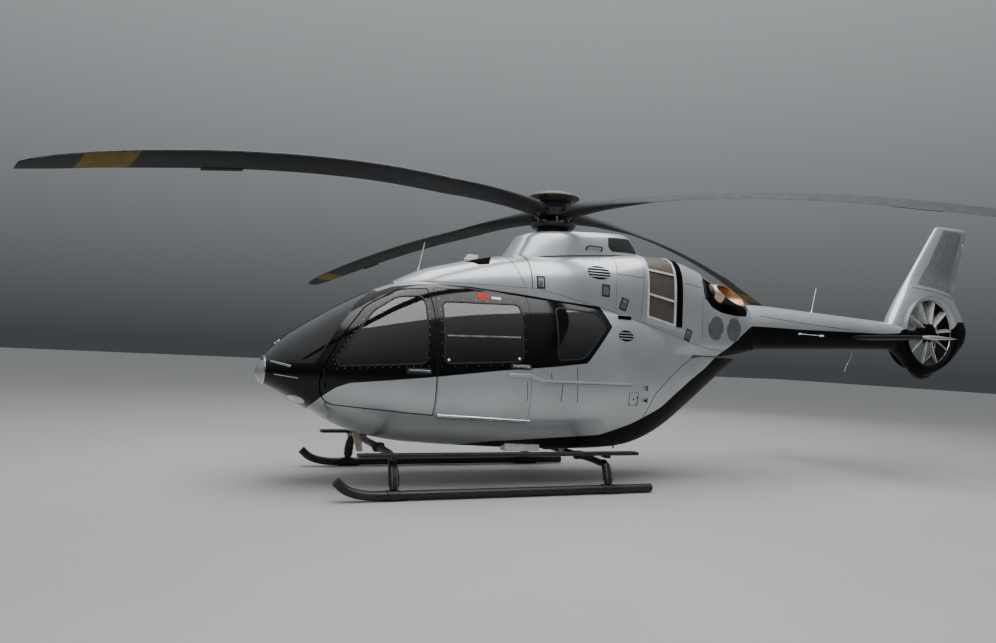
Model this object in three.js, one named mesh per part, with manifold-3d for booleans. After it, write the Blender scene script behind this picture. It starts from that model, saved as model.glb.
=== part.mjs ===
// Light twin-engine helicopter with a shrouded tail fan, millimetres.
// Stations run aft from the nose tip, +Y is starboard, +Z is up from the ground.
import * as THREE from "three";
import { mergeVertices } from "three/addons/utils/BufferGeometryUtils.js";
import Module from "manifold-3d";

const wasm = await Module();
wasm.setup();

// Where the middle of the overall box lies, as a station
const CENTRE = 4188;
const MAST = 3140;
const GAP = 0.3;
const WALL = 45;
const DOOR_GAP = 10;
const CLAM_GAP = 8;
// The belly skin ends just under the door sills
const BELLY_TOP = 640;

// Main rotor
// each blade's direction, its rise per metre, its sag per metre squared, and how far it is feathered
const BLADE_COLUMNS = ["angle", "rise", "sag", "feather"];
const BLADES = [
  [202.4, 95, 38, 0],
  [112.4, -16, 20, -11],
  [22.4, 68, 38, 0],
  [-67.6, 68, 38, 0],
];
const BLADE_Z = 2972;
const HUB_ARM = 240;
const HUB_LOW = 2925;
const CAP_Z = 3100;

// Tail fan
const FAN_X = 9225;
const FAN_Z = 1962;
const FAN_DUCT = 462;
const FAN_TIP = 452;
const FAN_LIP = 75;
const FAN_FACE = 172;

// Cabin pod sections
const POD_COLUMNS = ["x", "belly", "roof", "widest", "half", "above", "below"];
const POD = [
  [0, 1060, 1060, 1060, 0, 2.0, 2.0],
  [30, 990, 1155, 1070, 135, 2.0, 2.0],
  [100, 945, 1268, 1080, 250, 2.05, 2.05],
  [250, 865, 1422, 1080, 390, 2.1, 2.1],
  [500, 720, 1602, 1080, 530, 2.15, 2.2],
  [850, 550, 1820, 1080, 655, 2.2, 2.35],
  [1250, 445, 2010, 1080, 735, 2.3, 2.5],
  [1650, 405, 2110, 1080, 770, 2.45, 2.6],
  [2200, 375, 2150, 1100, 780, 2.6, 2.65],
  [2900, 345, 2160, 1120, 780, 2.65, 2.7],
  [3600, 345, 2160, 1170, 750, 2.7, 2.7],
  [4050, 385, 2160, 1240, 695, 2.7, 2.65],
  [4450, 530, 2160, 1350, 615, 2.65, 2.5],
  [4850, 785, 2155, 1480, 510, 2.55, 2.35],
  [5250, 1075, 2150, 1620, 405, 2.4, 2.2],
  [5620, 1345, 2145, 1750, 320, 2.25, 2.1],
  [5850, 1500, 2140, 1840, 285, 2.15, 2.05],
];

// Cowling sections, widest at mid and straight down below it
const COWL_COLUMNS = ["x", "mid", "top", "half", "above"];
const COWL = [
  [1300, 1950, 2050, 150, 2.2],
  [1600, 1950, 2200, 360, 2.4],
  [1900, 1950, 2290, 460, 2.6],
  [2200, 1940, 2370, 520, 2.7],
  [2600, 1900, 2440, 575, 2.8],
  [3140, 1860, 2500, 610, 3.0],
  [3600, 1820, 2530, 635, 3.5],
  [4050, 1780, 2560, 645, 4.6],
  [4450, 1740, 2560, 628, 4.6],
  [4900, 1720, 2485, 560, 3.5],
  [5250, 1720, 2375, 480, 2.9],
  [5550, 1730, 2250, 400, 2.6],
  [5850, 1760, 2140, 305, 2.3],
];
const COWL_SKIRT = 1300;
const COWL_SKIN = 30;
const COWL_SPLIT = 2650;

// Tail boom sections
const BOOM_COLUMNS = ["x", "low", "high", "half"];
const BOOM = [
  [4730, 1470, 1960, 330],
  [5250, 1470, 2010, 330],
  [5620, 1480, 2070, 310],
  [5850, 1545, 2125, 285],
  [6200, 1575, 2140, 270],
  [6900, 1610, 2120, 240],
  [7700, 1650, 2095, 208],
  [8300, 1675, 2075, 185],
  [8440, 1680, 2070, 180],
  [8780, 1700, 2060, 160],
];

// Fin and fan shroud, level by level
const FIN_COLUMNS = ["z", "front", "rear", "half", "blunt"];
const FIN = [
  [1324, 9170, 9260, 45, 2.2],
  [1372, 9070, 9410, 95, 2.2],
  [1440, 8955, 9560, 128, 2.4],
  [1520, 8875, 9695, 148, 2.6],
  [1620, 8735, 9830, 162, 2.7],
  [1740, 8550, 9950, 170, 2.8],
  [1850, 8470, 10050, 172, 2.9],
  [2030, 8490, 10095, 172, 2.9],
  [2200, 8565, 10010, 168, 2.8],
  [2400, 8680, 9880, 152, 2.6],
  [2500, 8745, 9845, 140, 2.5],
  [2600, 8805, 9885, 126, 2.4],
  [2800, 8940, 9905, 95, 2.2],
  [3100, 9150, 9995, 80, 2.2],
  [3480, 9420, 10110, 66, 2.2],
  [3545, 9480, 10105, 40, 2.2],
];

// Rotor blade stations along the span
const SPAN_COLUMNS = ["span", "chord", "lead", "thick", "round", "pitch"];
const SPAN = [
  [240.3, 190, 95, 150, 1, 20],
  [420, 215, 105, 150, 1, 20],
  [700, 240, 108, 112, 1, 20],
  [1000, 262, 100, 86, 0.9, 20],
  [1300, 280, 85, 60, 0.5, 20],
  [1550, 289, 72, 40, 0, 20],
  [2400, 289, 72, 35, 0, 20],
  [3400, 289, 72, 34, 0, 20],
  [4200, 289, 72, 32, 0, 19],
  [4700, 289, 72, 30, 0, 15],
  [4950, 272, 58, 26, 0, 13],
  [5110, 215, 22, 20, 0, 12],
  [5200, 140, -30, 10, 0, 12],
];

// Lower edge of the cowlings, seen from the side
const SEAM = [
  [1000, 2050],
  [2700, 2050],
  [3000, 1995],
  [3500, 1890],
  [4040, 1750],
  [4670, 1580],
  [4950, 1530],
  [5250, 1520],
  [5600, 1560],
  [6000, 1600],
];

// Door and window outlines, station and height
const CREW_DOOR = [
  [562, 880],
  [640, 815],
  [1900, 720],
  [1900, 1985],
  [1280, 1945],
  [950, 1750],
  [770, 1520],
  [680, 1380],
  [580, 1190],
  [530, 1010],
];
const CREW_DOOR_REAR = 1592;
const CREW_BEVEL = 0.15;
const CREW_WINDOW = [
  [690, 1176],
  [1010, 1198],
  [1480, 1232],
  [1500, 1800],
  [1470, 1885],
  [1250, 1865],
  [1020, 1715],
  [850, 1490],
  [760, 1360],
  [672, 1225],
];
const SLIDE_DOOR = [
  [1606, 712],
  [2580, 672],
  [2580, 1960],
  [1606, 1985],
];
const SLIDE_WINDOW = [
  [1665, 1240],
  [2480, 1290],
  [2480, 1860],
  [1665, 1840],
];
const REAR_WINDOW = [
  [2880, 1320],
  [3190, 1350],
  [3480, 1700],
  [3370, 1840],
  [2890, 1860],
];
const WINDSCREEN = [
  [-200, 1180],
  [500, 1195],
  [600, 1380],
  [690, 1530],
  [870, 1770],
  [1060, 1925],
  [1060, 2200],
  [-200, 2200],
];
const CLAM_FRONT = [
  [4010, 0],
  [4030, 770],
  [4160, 1010],
  [4430, 1240],
  [4710, 1420],
  [4900, 1445],
  [6400, 1445],
  [6400, 0],
];
const CLAM_END = 5620;

// Door hinges: pin line, lug heights, and how far aft the door arm reaches
const CREW_PIN = [562, -576];
const CREW_LUGS = [
  [950, 1000],
  [1095, 1145],
];
const CLAM_PIN = [4010, -716];
const CLAM_LUGS = [
  [905, 955, 4165],
  [1035, 1085, 4260],
];

function rowsOf(columns, table) {
  return table.map((row) => Object.fromEntries(columns.map((name, i) => [name, row[i]])));
}

// Smooth value between table rows at a place counted in rows
function between(rows, place) {
  const last = rows.length - 1;
  const i = Math.min(Math.max(Math.floor(place), 0), last - 1);
  const t = place - i;
  const out = {};
  for (const name of Object.keys(rows[0])) {
    const b = rows[i][name];
    const c = rows[i + 1][name];
    const a = i > 0 ? rows[i - 1][name] : 2 * b - c;
    const d = i + 2 <= last ? rows[i + 2][name] : 2 * c - b;
    const cubic = -a + 3 * b - 3 * c + d;
    const square = 2 * a - 5 * b + 4 * c - d;
    out[name] = 0.5 * (2 * b + (c - a) * t + square * t * t + cubic * t * t * t);
  }
  return out;
}

// Position-only merged geometry as a solid, turned outward if needed
function solid(geometry) {
  const loose = geometry.index ? geometry.toNonIndexed() : geometry;
  const bare = new THREE.BufferGeometry();
  bare.setAttribute("position", loose.getAttribute("position"));
  const merged = mergeVertices(bare, 1e-3);
  const triVerts = new Uint32Array(merged.index.array);
  const vertProperties = new Float32Array(merged.attributes.position.array);
  const made = new wasm.Manifold(new wasm.Mesh({ numProp: 3, vertProperties, triVerts }));
  if (made.volume() >= 0) return made;
  for (let i = 0; i < triVerts.length; i += 3) {
    [triVerts[i + 1], triVerts[i + 2]] = [triVerts[i + 2], triVerts[i + 1]];
  }
  return new wasm.Manifold(new wasm.Mesh({ numProp: 3, vertProperties, triVerts }));
}

// Closed skin over rings that all hold the same number of points
function loft(rings) {
  const count = rings[0].length;
  const points = rings.flat();
  const faces = [];
  for (let i = 0; i + 1 < rings.length; i++) {
    for (let j = 0; j < count; j++) {
      const k = (j + 1) % count;
      const a = i * count + j;
      const b = i * count + k;
      faces.push(a, a + count, b, b, a + count, b + count);
    }
  }
  const caps = [
    [0, false],
    [(rings.length - 1) * count, true],
  ];
  for (const [start, flip] of caps) {
    for (let j = 1; j + 1 < count; j++) {
      if (flip) faces.push(start, start + j + 1, start + j);
      else faces.push(start, start + j, start + j + 1);
    }
  }
  const geometry = new THREE.BufferGeometry().setFromPoints(points);
  geometry.setIndex(faces);
  return solid(geometry);
}

function box(x0, x1, y0, y1, z0, z1) {
  const geometry = new THREE.BoxGeometry(x1 - x0, y1 - y0, z1 - z0);
  geometry.translate((x0 + x1) / 2, (y0 + y1) / 2, (z0 + z1) / 2);
  return solid(geometry);
}

// Side-view outline with rounded corners
function outline(points, radius) {
  const shape = new THREE.Shape();
  const count = points.length;
  points.forEach((point, i) => {
    const here = new THREE.Vector2(...point);
    const before = new THREE.Vector2(...points[(i + count - 1) % count]).sub(here);
    const after = new THREE.Vector2(...points[(i + 1) % count]).sub(here);
    const cut = Math.min(radius, before.length() / 2.2, after.length() / 2.2);
    const start = here.clone().add(before.setLength(cut));
    const end = here.clone().add(after.setLength(cut));
    if (i === 0) shape.moveTo(start.x, start.y);
    else shape.lineTo(start.x, start.y);
    if (radius > 0) shape.quadraticCurveTo(here.x, here.y, end.x, end.y);
  });
  shape.closePath();
  return shape;
}

// Outline moved outward by a distance on every edge
function grown(points, by) {
  const area = points.reduce((sum, [x, z], i) => {
    const [u, v] = points[(i + 1) % points.length];
    return sum + x * v - u * z;
  }, 0);
  const side = area > 0 ? 1 : -1;
  return points.map(([x, z], i) => {
    const before = points[(i + points.length - 1) % points.length];
    const after = points[(i + 1) % points.length];
    const first = new THREE.Vector2(x - before[0], z - before[1]).normalize();
    const next = new THREE.Vector2(after[0] - x, after[1] - z).normalize();
    const outward = new THREE.Vector2(first.y + next.y, -first.x - next.x);
    const turn = 1 + first.dot(next);
    outward.multiplyScalar((side * by) / turn);
    return [x + outward.x, z + outward.y];
  });
}

// Outline pushed through from one y to another
function prism(points, y0, y1, radius = 0) {
  const geometry = new THREE.ExtrudeGeometry(outline(points, radius), {
    depth: y1 - y0,
    bevelEnabled: false,
    curveSegments: 3,
  });
  geometry.rotateX(Math.PI / 2);
  geometry.translate(0, y1, 0);
  return solid(geometry);
}

function cylinder(radiusLow, radiusHigh, low, high, sides = 24) {
  const geometry = new THREE.CylinderGeometry(radiusHigh, radiusLow, high - low, sides);
  geometry.rotateX(Math.PI / 2);
  geometry.translate(0, 0, (low + high) / 2);
  return solid(geometry);
}

function lathe(profile, sides = 28) {
  const points = profile.map(([r, z]) => new THREE.Vector2(r, z));
  const geometry = new THREE.LatheGeometry(points, sides);
  geometry.rotateX(Math.PI / 2);
  return solid(geometry);
}

// Round bar along a smooth path
function bar(points, radius, steps, sides = 10) {
  const path = new THREE.CatmullRomCurve3(points.map((p) => new THREE.Vector3(...p)));
  path.curveType = "centripetal";
  const round = new THREE.Shape().absarc(0, 0, radius, 0, Math.PI * 2, false);
  const geometry = new THREE.ExtrudeGeometry(round, {
    steps,
    extrudePath: path,
    curveSegments: sides / 2,
    bevelEnabled: false,
  });
  return solid(geometry);
}

function join(...list) {
  return list.reduce((sum, next) => sum.add(next));
}

function largest(made) {
  return made.decompose().reduce((a, b) => (b.volume() > a.volume() ? b : a));
}

function power(value, exponent) {
  return Math.sign(value) * Math.abs(value) ** exponent;
}

const podRows = rowsOf(POD_COLUMNS, POD);
const cowlRows = rowsOf(COWL_COLUMNS, COWL);
const boomRows = rowsOf(BOOM_COLUMNS, BOOM);
const finRows = rowsOf(FIN_COLUMNS, FIN);
const spanRows = rowsOf(SPAN_COLUMNS, SPAN);
const blades = rowsOf(BLADE_COLUMNS, BLADES);
const POD_SIDES = 24;

function podRing(s, inset) {
  const nose = Math.exp(-s.x / 350);
  const less = inset * (1 - 0.35 * Math.exp(-s.x / 200));
  const ring = [];
  for (let i = 0; i < POD_SIDES; i++) {
    const turn = ((i + 0.5) / POD_SIDES) * Math.PI * 2;
    const up = Math.sin(turn) > 0;
    const n = up ? s.above : s.below;
    const tall = up ? s.roof - s.widest - less : s.widest - s.belly - less;
    const y = (s.half - less) * power(Math.cos(turn), 2 / n);
    const z = s.widest + tall * power(Math.sin(turn), 2 / n);
    ring.push(new THREE.Vector3(s.x + inset * nose, y, z));
  }
  return ring;
}

function pod(inset) {
  const places = [0.45, 1, 1.5, 2, 2.5, 3, 3.5, 4, 4.5, 5, 6, 7, 8, 9, 10, 11, 12, 13, 14, 15, 16];
  const kept = places.map((p) => between(podRows, p)).filter((s) => s.half > inset + 20);
  return loft(kept.map((s) => podRing(s, inset)));
}

function cowlRing(s, inset) {
  const sides = 16;
  const ring = [];
  for (let i = 0; i <= sides; i++) {
    const turn = (i / sides) * Math.PI;
    const y = (s.half - inset) * power(Math.cos(turn), 2 / s.above);
    const z = s.mid + (s.top - s.mid - inset) * Math.abs(Math.sin(turn)) ** (2 / s.above);
    ring.push(new THREE.Vector3(s.x, y, z));
  }
  ring.push(new THREE.Vector3(s.x, -(s.half - inset), COWL_SKIRT));
  ring.push(new THREE.Vector3(s.x, s.half - inset, COWL_SKIRT));
  return ring;
}

function cowl(inset) {
  const places = [0, 0.5, 1, 2, 3, 4, 6, 7, 8, 9, 10, 11, 12];
  return loft(places.map((p) => cowlRing(between(cowlRows, p), inset)));
}

function boom(extra) {
  const sides = 20;
  return loft(
    boomRows.map((s) => {
      const ring = [];
      for (let i = 0; i < sides; i++) {
        const turn = ((i + 0.5) / sides) * Math.PI * 2;
        const y = (s.half + extra) * power(Math.cos(turn), 0.87);
        const mid = (s.low + s.high) / 2;
        const tall = (s.high - s.low) / 2 + extra;
        ring.push(new THREE.Vector3(s.x, y, mid + tall * power(Math.sin(turn), 0.87)));
      }
      return ring;
    }),
  );
}

function finBody(extra) {
  const sides = 24;
  return loft(
    finRows.map((s, level) => {
      const ring = [];
      const mid = (s.front + s.rear) / 2;
      const long = (s.rear - s.front) / 2 + extra;
      const z = level === 0 ? s.z - extra : s.z;
      for (let i = 0; i < sides; i++) {
        const turn = ((i + 0.5) / sides) * Math.PI * 2;
        const x = mid + long * power(Math.cos(turn), 2 / s.blunt);
        const y = (s.half + extra) * power(Math.sin(turn), 2 / s.blunt);
        ring.push(new THREE.Vector3(x, y, z));
      }
      return ring;
    }),
  );
}

// Height of the drooping blade at a distance from the mast
function droop(r, { rise, sag }) {
  const m = r / 1000;
  return BLADE_Z + rise * m - sag * m * m;
}

function radians(degrees) {
  return (degrees * Math.PI) / 180;
}

function bladeRing(s, blade) {
  const fractions = [0, 0.04, 0.16, 0.36, 0.6, 0.84, 1];
  const half = (f) => {
    const wing = 1.485 * Math.sqrt(f) - 0.63 * f - 1.758 * f * f + 1.4215 * f ** 3 - 0.5075 * f ** 4;
    const oval = Math.sqrt(Math.max(0, 4 * f * (1 - f))) / 2;
    return Math.max(s.thick * ((1 - s.round) * Math.max(wing, 0) + s.round * oval), 1.2);
  };
  const around = fractions.map((f) => [f, half(f)]);
  for (const f of [...fractions].reverse()) around.push([f, -half(f)]);
  const c = Math.cos(radians(blade.angle));
  const d = Math.sin(radians(blade.angle));
  const level = Math.cos(radians(s.pitch + blade.feather));
  const tilt = Math.sin(radians(s.pitch + blade.feather));
  return around.map(([f, h]) => {
    const chord = s.lead - f * s.chord;
    const t = chord * level - h * tilt;
    const z = droop(s.span, blade) + chord * tilt + h * level;
    return new THREE.Vector3(MAST + s.span * c - t * d, s.span * d + t * c, z);
  });
}

const parts = [];

function place(name, made, colour, options = {}) {
  const mesh = largest(made).getMesh();
  const count = mesh.numProp;
  const positions = new Float32Array(mesh.numVert * 3);
  for (let i = 0; i < mesh.numVert; i++) {
    positions.set(mesh.vertProperties.subarray(i * count, i * count + 3), i * 3);
  }
  const geometry = new THREE.BufferGeometry();
  geometry.setAttribute("position", new THREE.BufferAttribute(positions, 3));
  geometry.setIndex(new THREE.BufferAttribute(mesh.triVerts, 1));
  geometry.translate(-CENTRE, 0, 0);
  geometry.computeVertexNormals();
  const material = new THREE.MeshStandardMaterial({ color: colour, ...options });
  const node = new THREE.Mesh(geometry, material);
  node.name = name;
  parts.push(node);
}

function pair(name, made, colour, options) {
  place(name + "_left", made, colour, options);
  place(name + "_right", made.mirror([0, 1, 0]), colour, options);
}

const SILVER = 0xb9bdc0;
const BLACK = 0x15171a;
const GREY = 0x55595e;
const GLASS = 0x2c3338;
const METAL = { metalness: 0.6, roughness: 0.4 };
const CLEAR = { transparent: true, opacity: 0.45, roughness: 0.1 };

// Outer body, then what lies below and above the cowling seam
const outer = pod(0);
const skinned = join(outer, cowl(0));
const wall = outer.subtract(pod(WALL));
const seamLow = [...SEAM, [6000, -100], [1000, -100]];
const seamHigh = [...SEAM.map(([x, z]) => [x, z + GAP]), [6000, 3000], [1000, 3000]];
const belowSeam = join(prism(seamLow, -1500, 1500), box(-500, 1000.5, -1500, 1500, -100, 3000));
const aboveSeam = prism(seamHigh, -1500, 1500);
const seamRoof = SEAM.map(([x, z]) => [x, z - 55]);
const cabinRoom = pod(WALL).intersect(
  join(
    prism([...seamRoof, [6000, -100], [1000, -100]], -1500, 1500),
    box(-500, 1000.5, -1500, 1500, -100, 3000),
  ),
);

// Doors cut from the wall
const bevel = (offset) => {
  const slope = CREW_BEVEL * 800;
  const edge = CREW_DOOR_REAR + offset;
  const shape = new THREE.Shape();
  shape.moveTo(-500, -800);
  shape.lineTo(edge, -800);
  shape.lineTo(edge - slope, 0);
  shape.lineTo(-500, 0);
  shape.closePath();
  const geometry = new THREE.ExtrudeGeometry(shape, { depth: 3000, bevelEnabled: false });
  return solid(geometry);
};
const crewDoor = prism(CREW_DOOR, -1500, -60, 60).intersect(bevel(0));
const crewHole = prism(grown(CREW_DOOR, DOOR_GAP), -1500, -50, 60).intersect(bevel(DOOR_GAP));
const crewWindow = prism(CREW_WINDOW, -1500, -100, 50);
const slideDoor = prism(SLIDE_DOOR, -1500, -60, 45);
const slideWindow = prism(SLIDE_WINDOW, -1500, -100, 70);
const rearWindow = prism(REAR_WINDOW, -1500, -100, 60);
const screenLeft = prism(WINDSCREEN, -1500, -22, 60);
const clamCut = prism(CLAM_FRONT, -1500, 1500);
const clamDoor = prism(grown(CLAM_FRONT, -CLAM_GAP), -1500, -CLAM_GAP / 2);
const clamTrim = box(-500, CLAM_END, -1500, 1500, -100, 3000);

// Round knuckles on the pin lines: the lower half of each is fixed, the upper half turns
function knuckle([x, y], low, high, radius) {
  return cylinder(radius, radius, low, high, 12).translate([x, y, 0]);
}
let fixedLugs = null;
let crewArms = null;
let clamArms = null;
for (const [low, high] of CREW_LUGS) {
  const [x, y] = CREW_PIN;
  const mid = (low + high) / 2;
  const lug = join(
    knuckle(CREW_PIN, low, mid - GAP / 2, 8),
    box(x - 60, x, y - 8, y + 4, low, mid - GAP / 2),
    box(x - 60, x - 42, y - 8, y + 70, low, mid - GAP / 2),
  );
  const arm = join(
    knuckle(CREW_PIN, mid + GAP / 2, high, 8),
    box(x, x + 40, y - 8, y + 30, mid + GAP / 2, high),
  );
  fixedLugs = fixedLugs ? fixedLugs.add(lug) : lug;
  crewArms = crewArms ? crewArms.add(arm) : arm;
}
for (const [low, high, reach] of CLAM_LUGS) {
  const [x, y] = CLAM_PIN;
  const mid = (low + high) / 2;
  const lug = join(
    knuckle(CLAM_PIN, low, mid - GAP / 2, 9),
    box(x - 20, x + 9, y, y + 75, low, mid - GAP / 2),
  );
  const arm = join(
    knuckle(CLAM_PIN, mid + GAP / 2, high, 9),
    box(x, reach + 30, y - 9, y + 5, mid + GAP / 2, high),
    box(reach, reach + 30, y - 9, y + 105, mid + GAP / 2, high),
  );
  fixedLugs = fixedLugs.add(lug);
  clamArms = clamArms ? clamArms.add(arm) : arm;
}

const pane = pod(4).subtract(pod(16));
const paneOf = (points, radius) => prism(grown(points, -GAP), -1500, -100, radius);
const both = (made) => join(made, made.mirror([0, 1, 0]));

const openings = join(
  both(crewHole),
  both(prism(grown(SLIDE_DOOR, GAP), -1500, -50, 45)),
  both(rearWindow),
  both(screenLeft),
  clamCut,
);
const body = skinned.intersect(belowSeam).subtract(cabinRoom).subtract(openings);
const shell = body.intersect(box(-500, 4720, -1500, 1500, BELLY_TOP + GAP, 3000));
place("cabin_shell", largest(shell).add(both(fixedLugs)), SILVER, METAL);
place("belly_skin", body.intersect(box(-500, 4720, -1500, 1500, -100, BELLY_TOP)), SILVER, METAL);

const glassLeft = prism(grown(WINDSCREEN, -GAP), -1500, -22.3, 60);
pair("windscreen", pane.intersect(glassLeft), GLASS, CLEAR);
const crewLeaf = wall.intersect(crewDoor).subtract(crewWindow);
pair("crew_door", crewLeaf.add(crewArms), BLACK, METAL);
pair("crew_door_window", pane.intersect(paneOf(CREW_WINDOW, 50)), GLASS, CLEAR);
pair("sliding_door", wall.intersect(slideDoor).subtract(slideWindow), BLACK, METAL);
pair("sliding_door_window", pane.intersect(paneOf(SLIDE_WINDOW, 70)), GLASS, CLEAR);
pair("rear_window", pane.intersect(paneOf(REAR_WINDOW, 60)), GLASS, CLEAR);
const clamLeaf = wall.intersect(clamDoor).intersect(clamTrim);
pair("clamshell_door", clamLeaf.add(clamArms), BLACK, METAL);

// Floor block with the tanks, between the belly skin and the floor boards
const floorRoom = pod(WALL + GAP).intersect(box(620, 3975, -1500, 1500, -100, 660));
place("cabin_floor", floorRoom, GREY);

// Seats, panel and console
const SEAT_SIDE = [
  [1080, 660.3],
  [1430, 660.3],
  [1450, 980],
  [1640, 1560],
  [1660, 1740],
  [1560, 1745],
  [1540, 1600],
  [1400, 1060],
  [1000, 1040],
  [990, 960],
  [1080, 930],
];
const room = pod(WALL + 6);
const SEAT_BASE = [
  [1080, 660.3],
  [1430, 660.3],
  [1430, 980],
  [1080, 980],
];
const crewSeat = join(
  prism(SEAT_SIDE.slice(2), -570, -170, 30),
  prism(SEAT_BASE, -450, -290, 0),
);
pair("crew_seat", crewSeat.intersect(room), 0x2a2c30);
const BENCH_SIDE = SEAT_SIDE.map(([x, z]) => [x + 1680, z]);
place("cabin_seat_row", prism(BENCH_SIDE, -610, 610, 30).intersect(room), 0x2a2c30);
const PANEL_SIDE = [
  [640, 660.3],
  [1000, 660.3],
  [1000, 900],
  [800, 960],
  [760, 1270],
  [600, 1290],
  [480, 1180],
  [640, 1120],
];
const panelWide = prism(PANEL_SIDE, -330, 330, 20).subtract(
  both(box(400, 1100, -700, -130, 600, 1000)),
);
place("instrument_panel", panelWide.intersect(room).add(box(760, 900, -120, 120, 660.3, 900)), BLACK);

// Tail boom
const boomRoot = outer
  .intersect(belowSeam)
  .intersect(box(4720.3, 5850, -1500, 1500, 1445 + CLAM_GAP, 3000));
const boomWhole = join(boomRoot, boom(0));
// Turned about the fan axis, with the profile's second value along +Y
const aboutFan = (made) => made.rotate([-90, 0, 0]).translate([FAN_X, 0, FAN_Z]);
const duct = aboutFan(cylinder(FAN_DUCT, FAN_DUCT, -450, 450, 40));
const lipArc = [0, 0.25, 0.5, 0.75, 1].map((t) => {
  const turn = (t * Math.PI) / 2;
  const radius = FAN_DUCT + FAN_LIP * (1 - Math.cos(turn));
  return [radius, FAN_FACE - 70 + 72 * Math.sin(turn)];
});
const lip = aboutFan(lathe([[0, FAN_FACE - 70], ...lipArc, [FAN_DUCT + FAN_LIP, 300], [0, 300]], 40));
const fin = largest(finBody(0).subtract(duct).subtract(both(lip)));
const finGrown = finBody(GAP);
place("tail_boom", boomWhole.subtract(finGrown), SILVER, METAL);
place("fin_shroud", fin, SILVER, METAL);

// Cowlings, open underneath
const cowlSkin = skinned
  .intersect(aboveSeam)
  .subtract(cowl(COWL_SKIN))
  .subtract(boom(GAP));
const frontCowl = skinned
  .intersect(aboveSeam)
  .intersect(box(0, COWL_SPLIT - GAP, -1500, 1500, 0, 3000))
  .subtract(cowl(COWL_SKIN).intersect(box(1750, COWL_SPLIT, -1500, 1500, 0, 3000)));

// Side intake and exhaust openings in the engine cowling
const INTAKE = [
  [4030, 1862],
  [4400, 1795],
  [4400, 2700],
  [4030, 2700],
];
const EXHAUST_HOLE = [
  [4860, 2150],
  [4980, 2020],
  [5170, 1965],
  [5450, 1950],
  [5730, 1960],
  [5790, 2060],
  [5640, 2500],
  [4960, 2500],
  [4870, 2300],
];
const intakeCut = prism(INTAKE, -1500, -350, 15);
const exhaustCut = prism(EXHAUST_HOLE, -1500, -180, 60);
const mastWell = cylinder(300, 300, 2000, 3000, 28).translate([MAST, 0, 0]);
const engineCowl = cowlSkin
  .intersect(box(COWL_SPLIT, 5800, -1500, 1500, 0, 3000))
  .subtract(both(intakeCut))
  .subtract(both(exhaustCut))
  .subtract(mastWell);
place("front_cowling", frontCowl, SILVER, METAL);
const grille = cowl(3)
  .subtract(cowl(20))
  .intersect(prism(grown(INTAKE, -GAP), -1500, -350, 15));
pair("intake_grille", grille, 0x7b7468);

// Mast fairing on top of the cowling
const FAIRING_COLUMNS = ["front", "rear", "half", "low", "high"];
const FAIRING = rowsOf(FAIRING_COLUMNS, [
  [2500, 4290, 410, 2340, 2440],
  [2560, 4240, 392, 2450, 2550],
  [2640, 4160, 368, 2580, 2675],
  [2700, 4100, 340, 2670, 2760],
  [2780, 4030, 295, 2712, 2800],
]);
function fairing(inset) {
  return loft(
    FAIRING.map((s, level) => {
      const ring = [];
      const mid = (s.front + s.rear) / 2;
      for (let i = 0; i < 24; i++) {
        const turn = ((i + 0.5) / 24) * Math.PI * 2;
        const x = mid + ((s.rear - s.front) / 2 - inset) * power(Math.cos(turn), 0.75);
        const y = (s.half - inset) * power(Math.sin(turn), 0.75);
        const along = (x - s.front) / (s.rear - s.front);
        const z = s.low + along * (s.high - s.low);
        ring.push(new THREE.Vector3(x, y, level === 4 ? z - inset : z));
      }
      return ring;
    }),
  );
}
const fairingSkin = fairing(0)
  .subtract(fairing(25))
  .subtract(cowl(-GAP))
  .subtract(cylinder(215, 215, 2000, 3000, 28).translate([MAST, 0, 0]));
place("mast_fairing", fairingSkin, SILVER, METAL);

// Gearbox and engines as closed masses on the deck
const gearbox = join(
  cylinder(240, 240, 2100, 2440, 24).translate([MAST, 0, 0]),
  cylinder(150, 130, 2400, 2600, 24).translate([MAST, 0, 0]),
  box(2880, 3420, -230, 230, 1900, 2330),
).intersect(aboveSeam);
place("main_gearbox", gearbox, 0x8a8d90, METAL);
const engine = join(
  box(3620, 4700, -400, -110, 1700, 2200),
  bar(
    [
      [3700, -255, 2180],
      [4100, -255, 2200],
      [4780, -255, 2180],
    ],
    150,
    2,
    16,
  ),
).intersect(aboveSeam);
pair("engine", engine, 0x8a8d90, METAL);

// Exhaust pipe, hollow behind a closed front end
const EXHAUST_PATH = [
  [4810, -270, 2190],
  [5000, -300, 2190],
  [5230, -380, 2190],
  [5420, -500, 2195],
];
const pipeRoom = bar([...EXHAUST_PATH, [5520, -563, 2198]], 122, 4, 12);
place("engine_cowling", engineCowl.subtract(both(pipeRoom)), SILVER, METAL);
const pipe = bar(EXHAUST_PATH, 115, 4, 12).subtract(
  bar([...EXHAUST_PATH.slice(1), [5520, -563, 2198]], 103, 4, 12),
);
const elbow = box(4700, 4835, -330, -200, 2100, 2260);
pair("exhaust", pipe.add(elbow).subtract(engine.add(box(4000, 4710, -500, 0, 1500, 2500))), 0x8c6f4c, METAL);

// Fixed vanes, hub and shaft fairing in the duct, on the port side
const VANE_CHORD = 105;
const FAN_BLADES = 10;
const ductInside = aboutFan(cylinder(FAN_DUCT - GAP, FAN_DUCT - GAP, -150, 150, 40));
let stator = aboutFan(cylinder(125, 145, -140, -GAP, 20));
for (let i = 0; i < FAN_BLADES; i++) {
  const vane = new THREE.BoxGeometry(16, VANE_CHORD, 400);
  vane.translate(0, 0, 310);
  vane.rotateY(((i + 0.3) / FAN_BLADES) * Math.PI * 2);
  vane.translate(FAN_X, -80, FAN_Z);
  stator = stator.add(solid(vane));
}
const shaftFairing = box(FAN_X - 600, FAN_X + 140, -135, -45, FAN_Z - 75, FAN_Z + 15);
place("tail_fan_stator", stator.add(shaftFairing).intersect(ductInside), 0xa9adb0, METAL);

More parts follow.
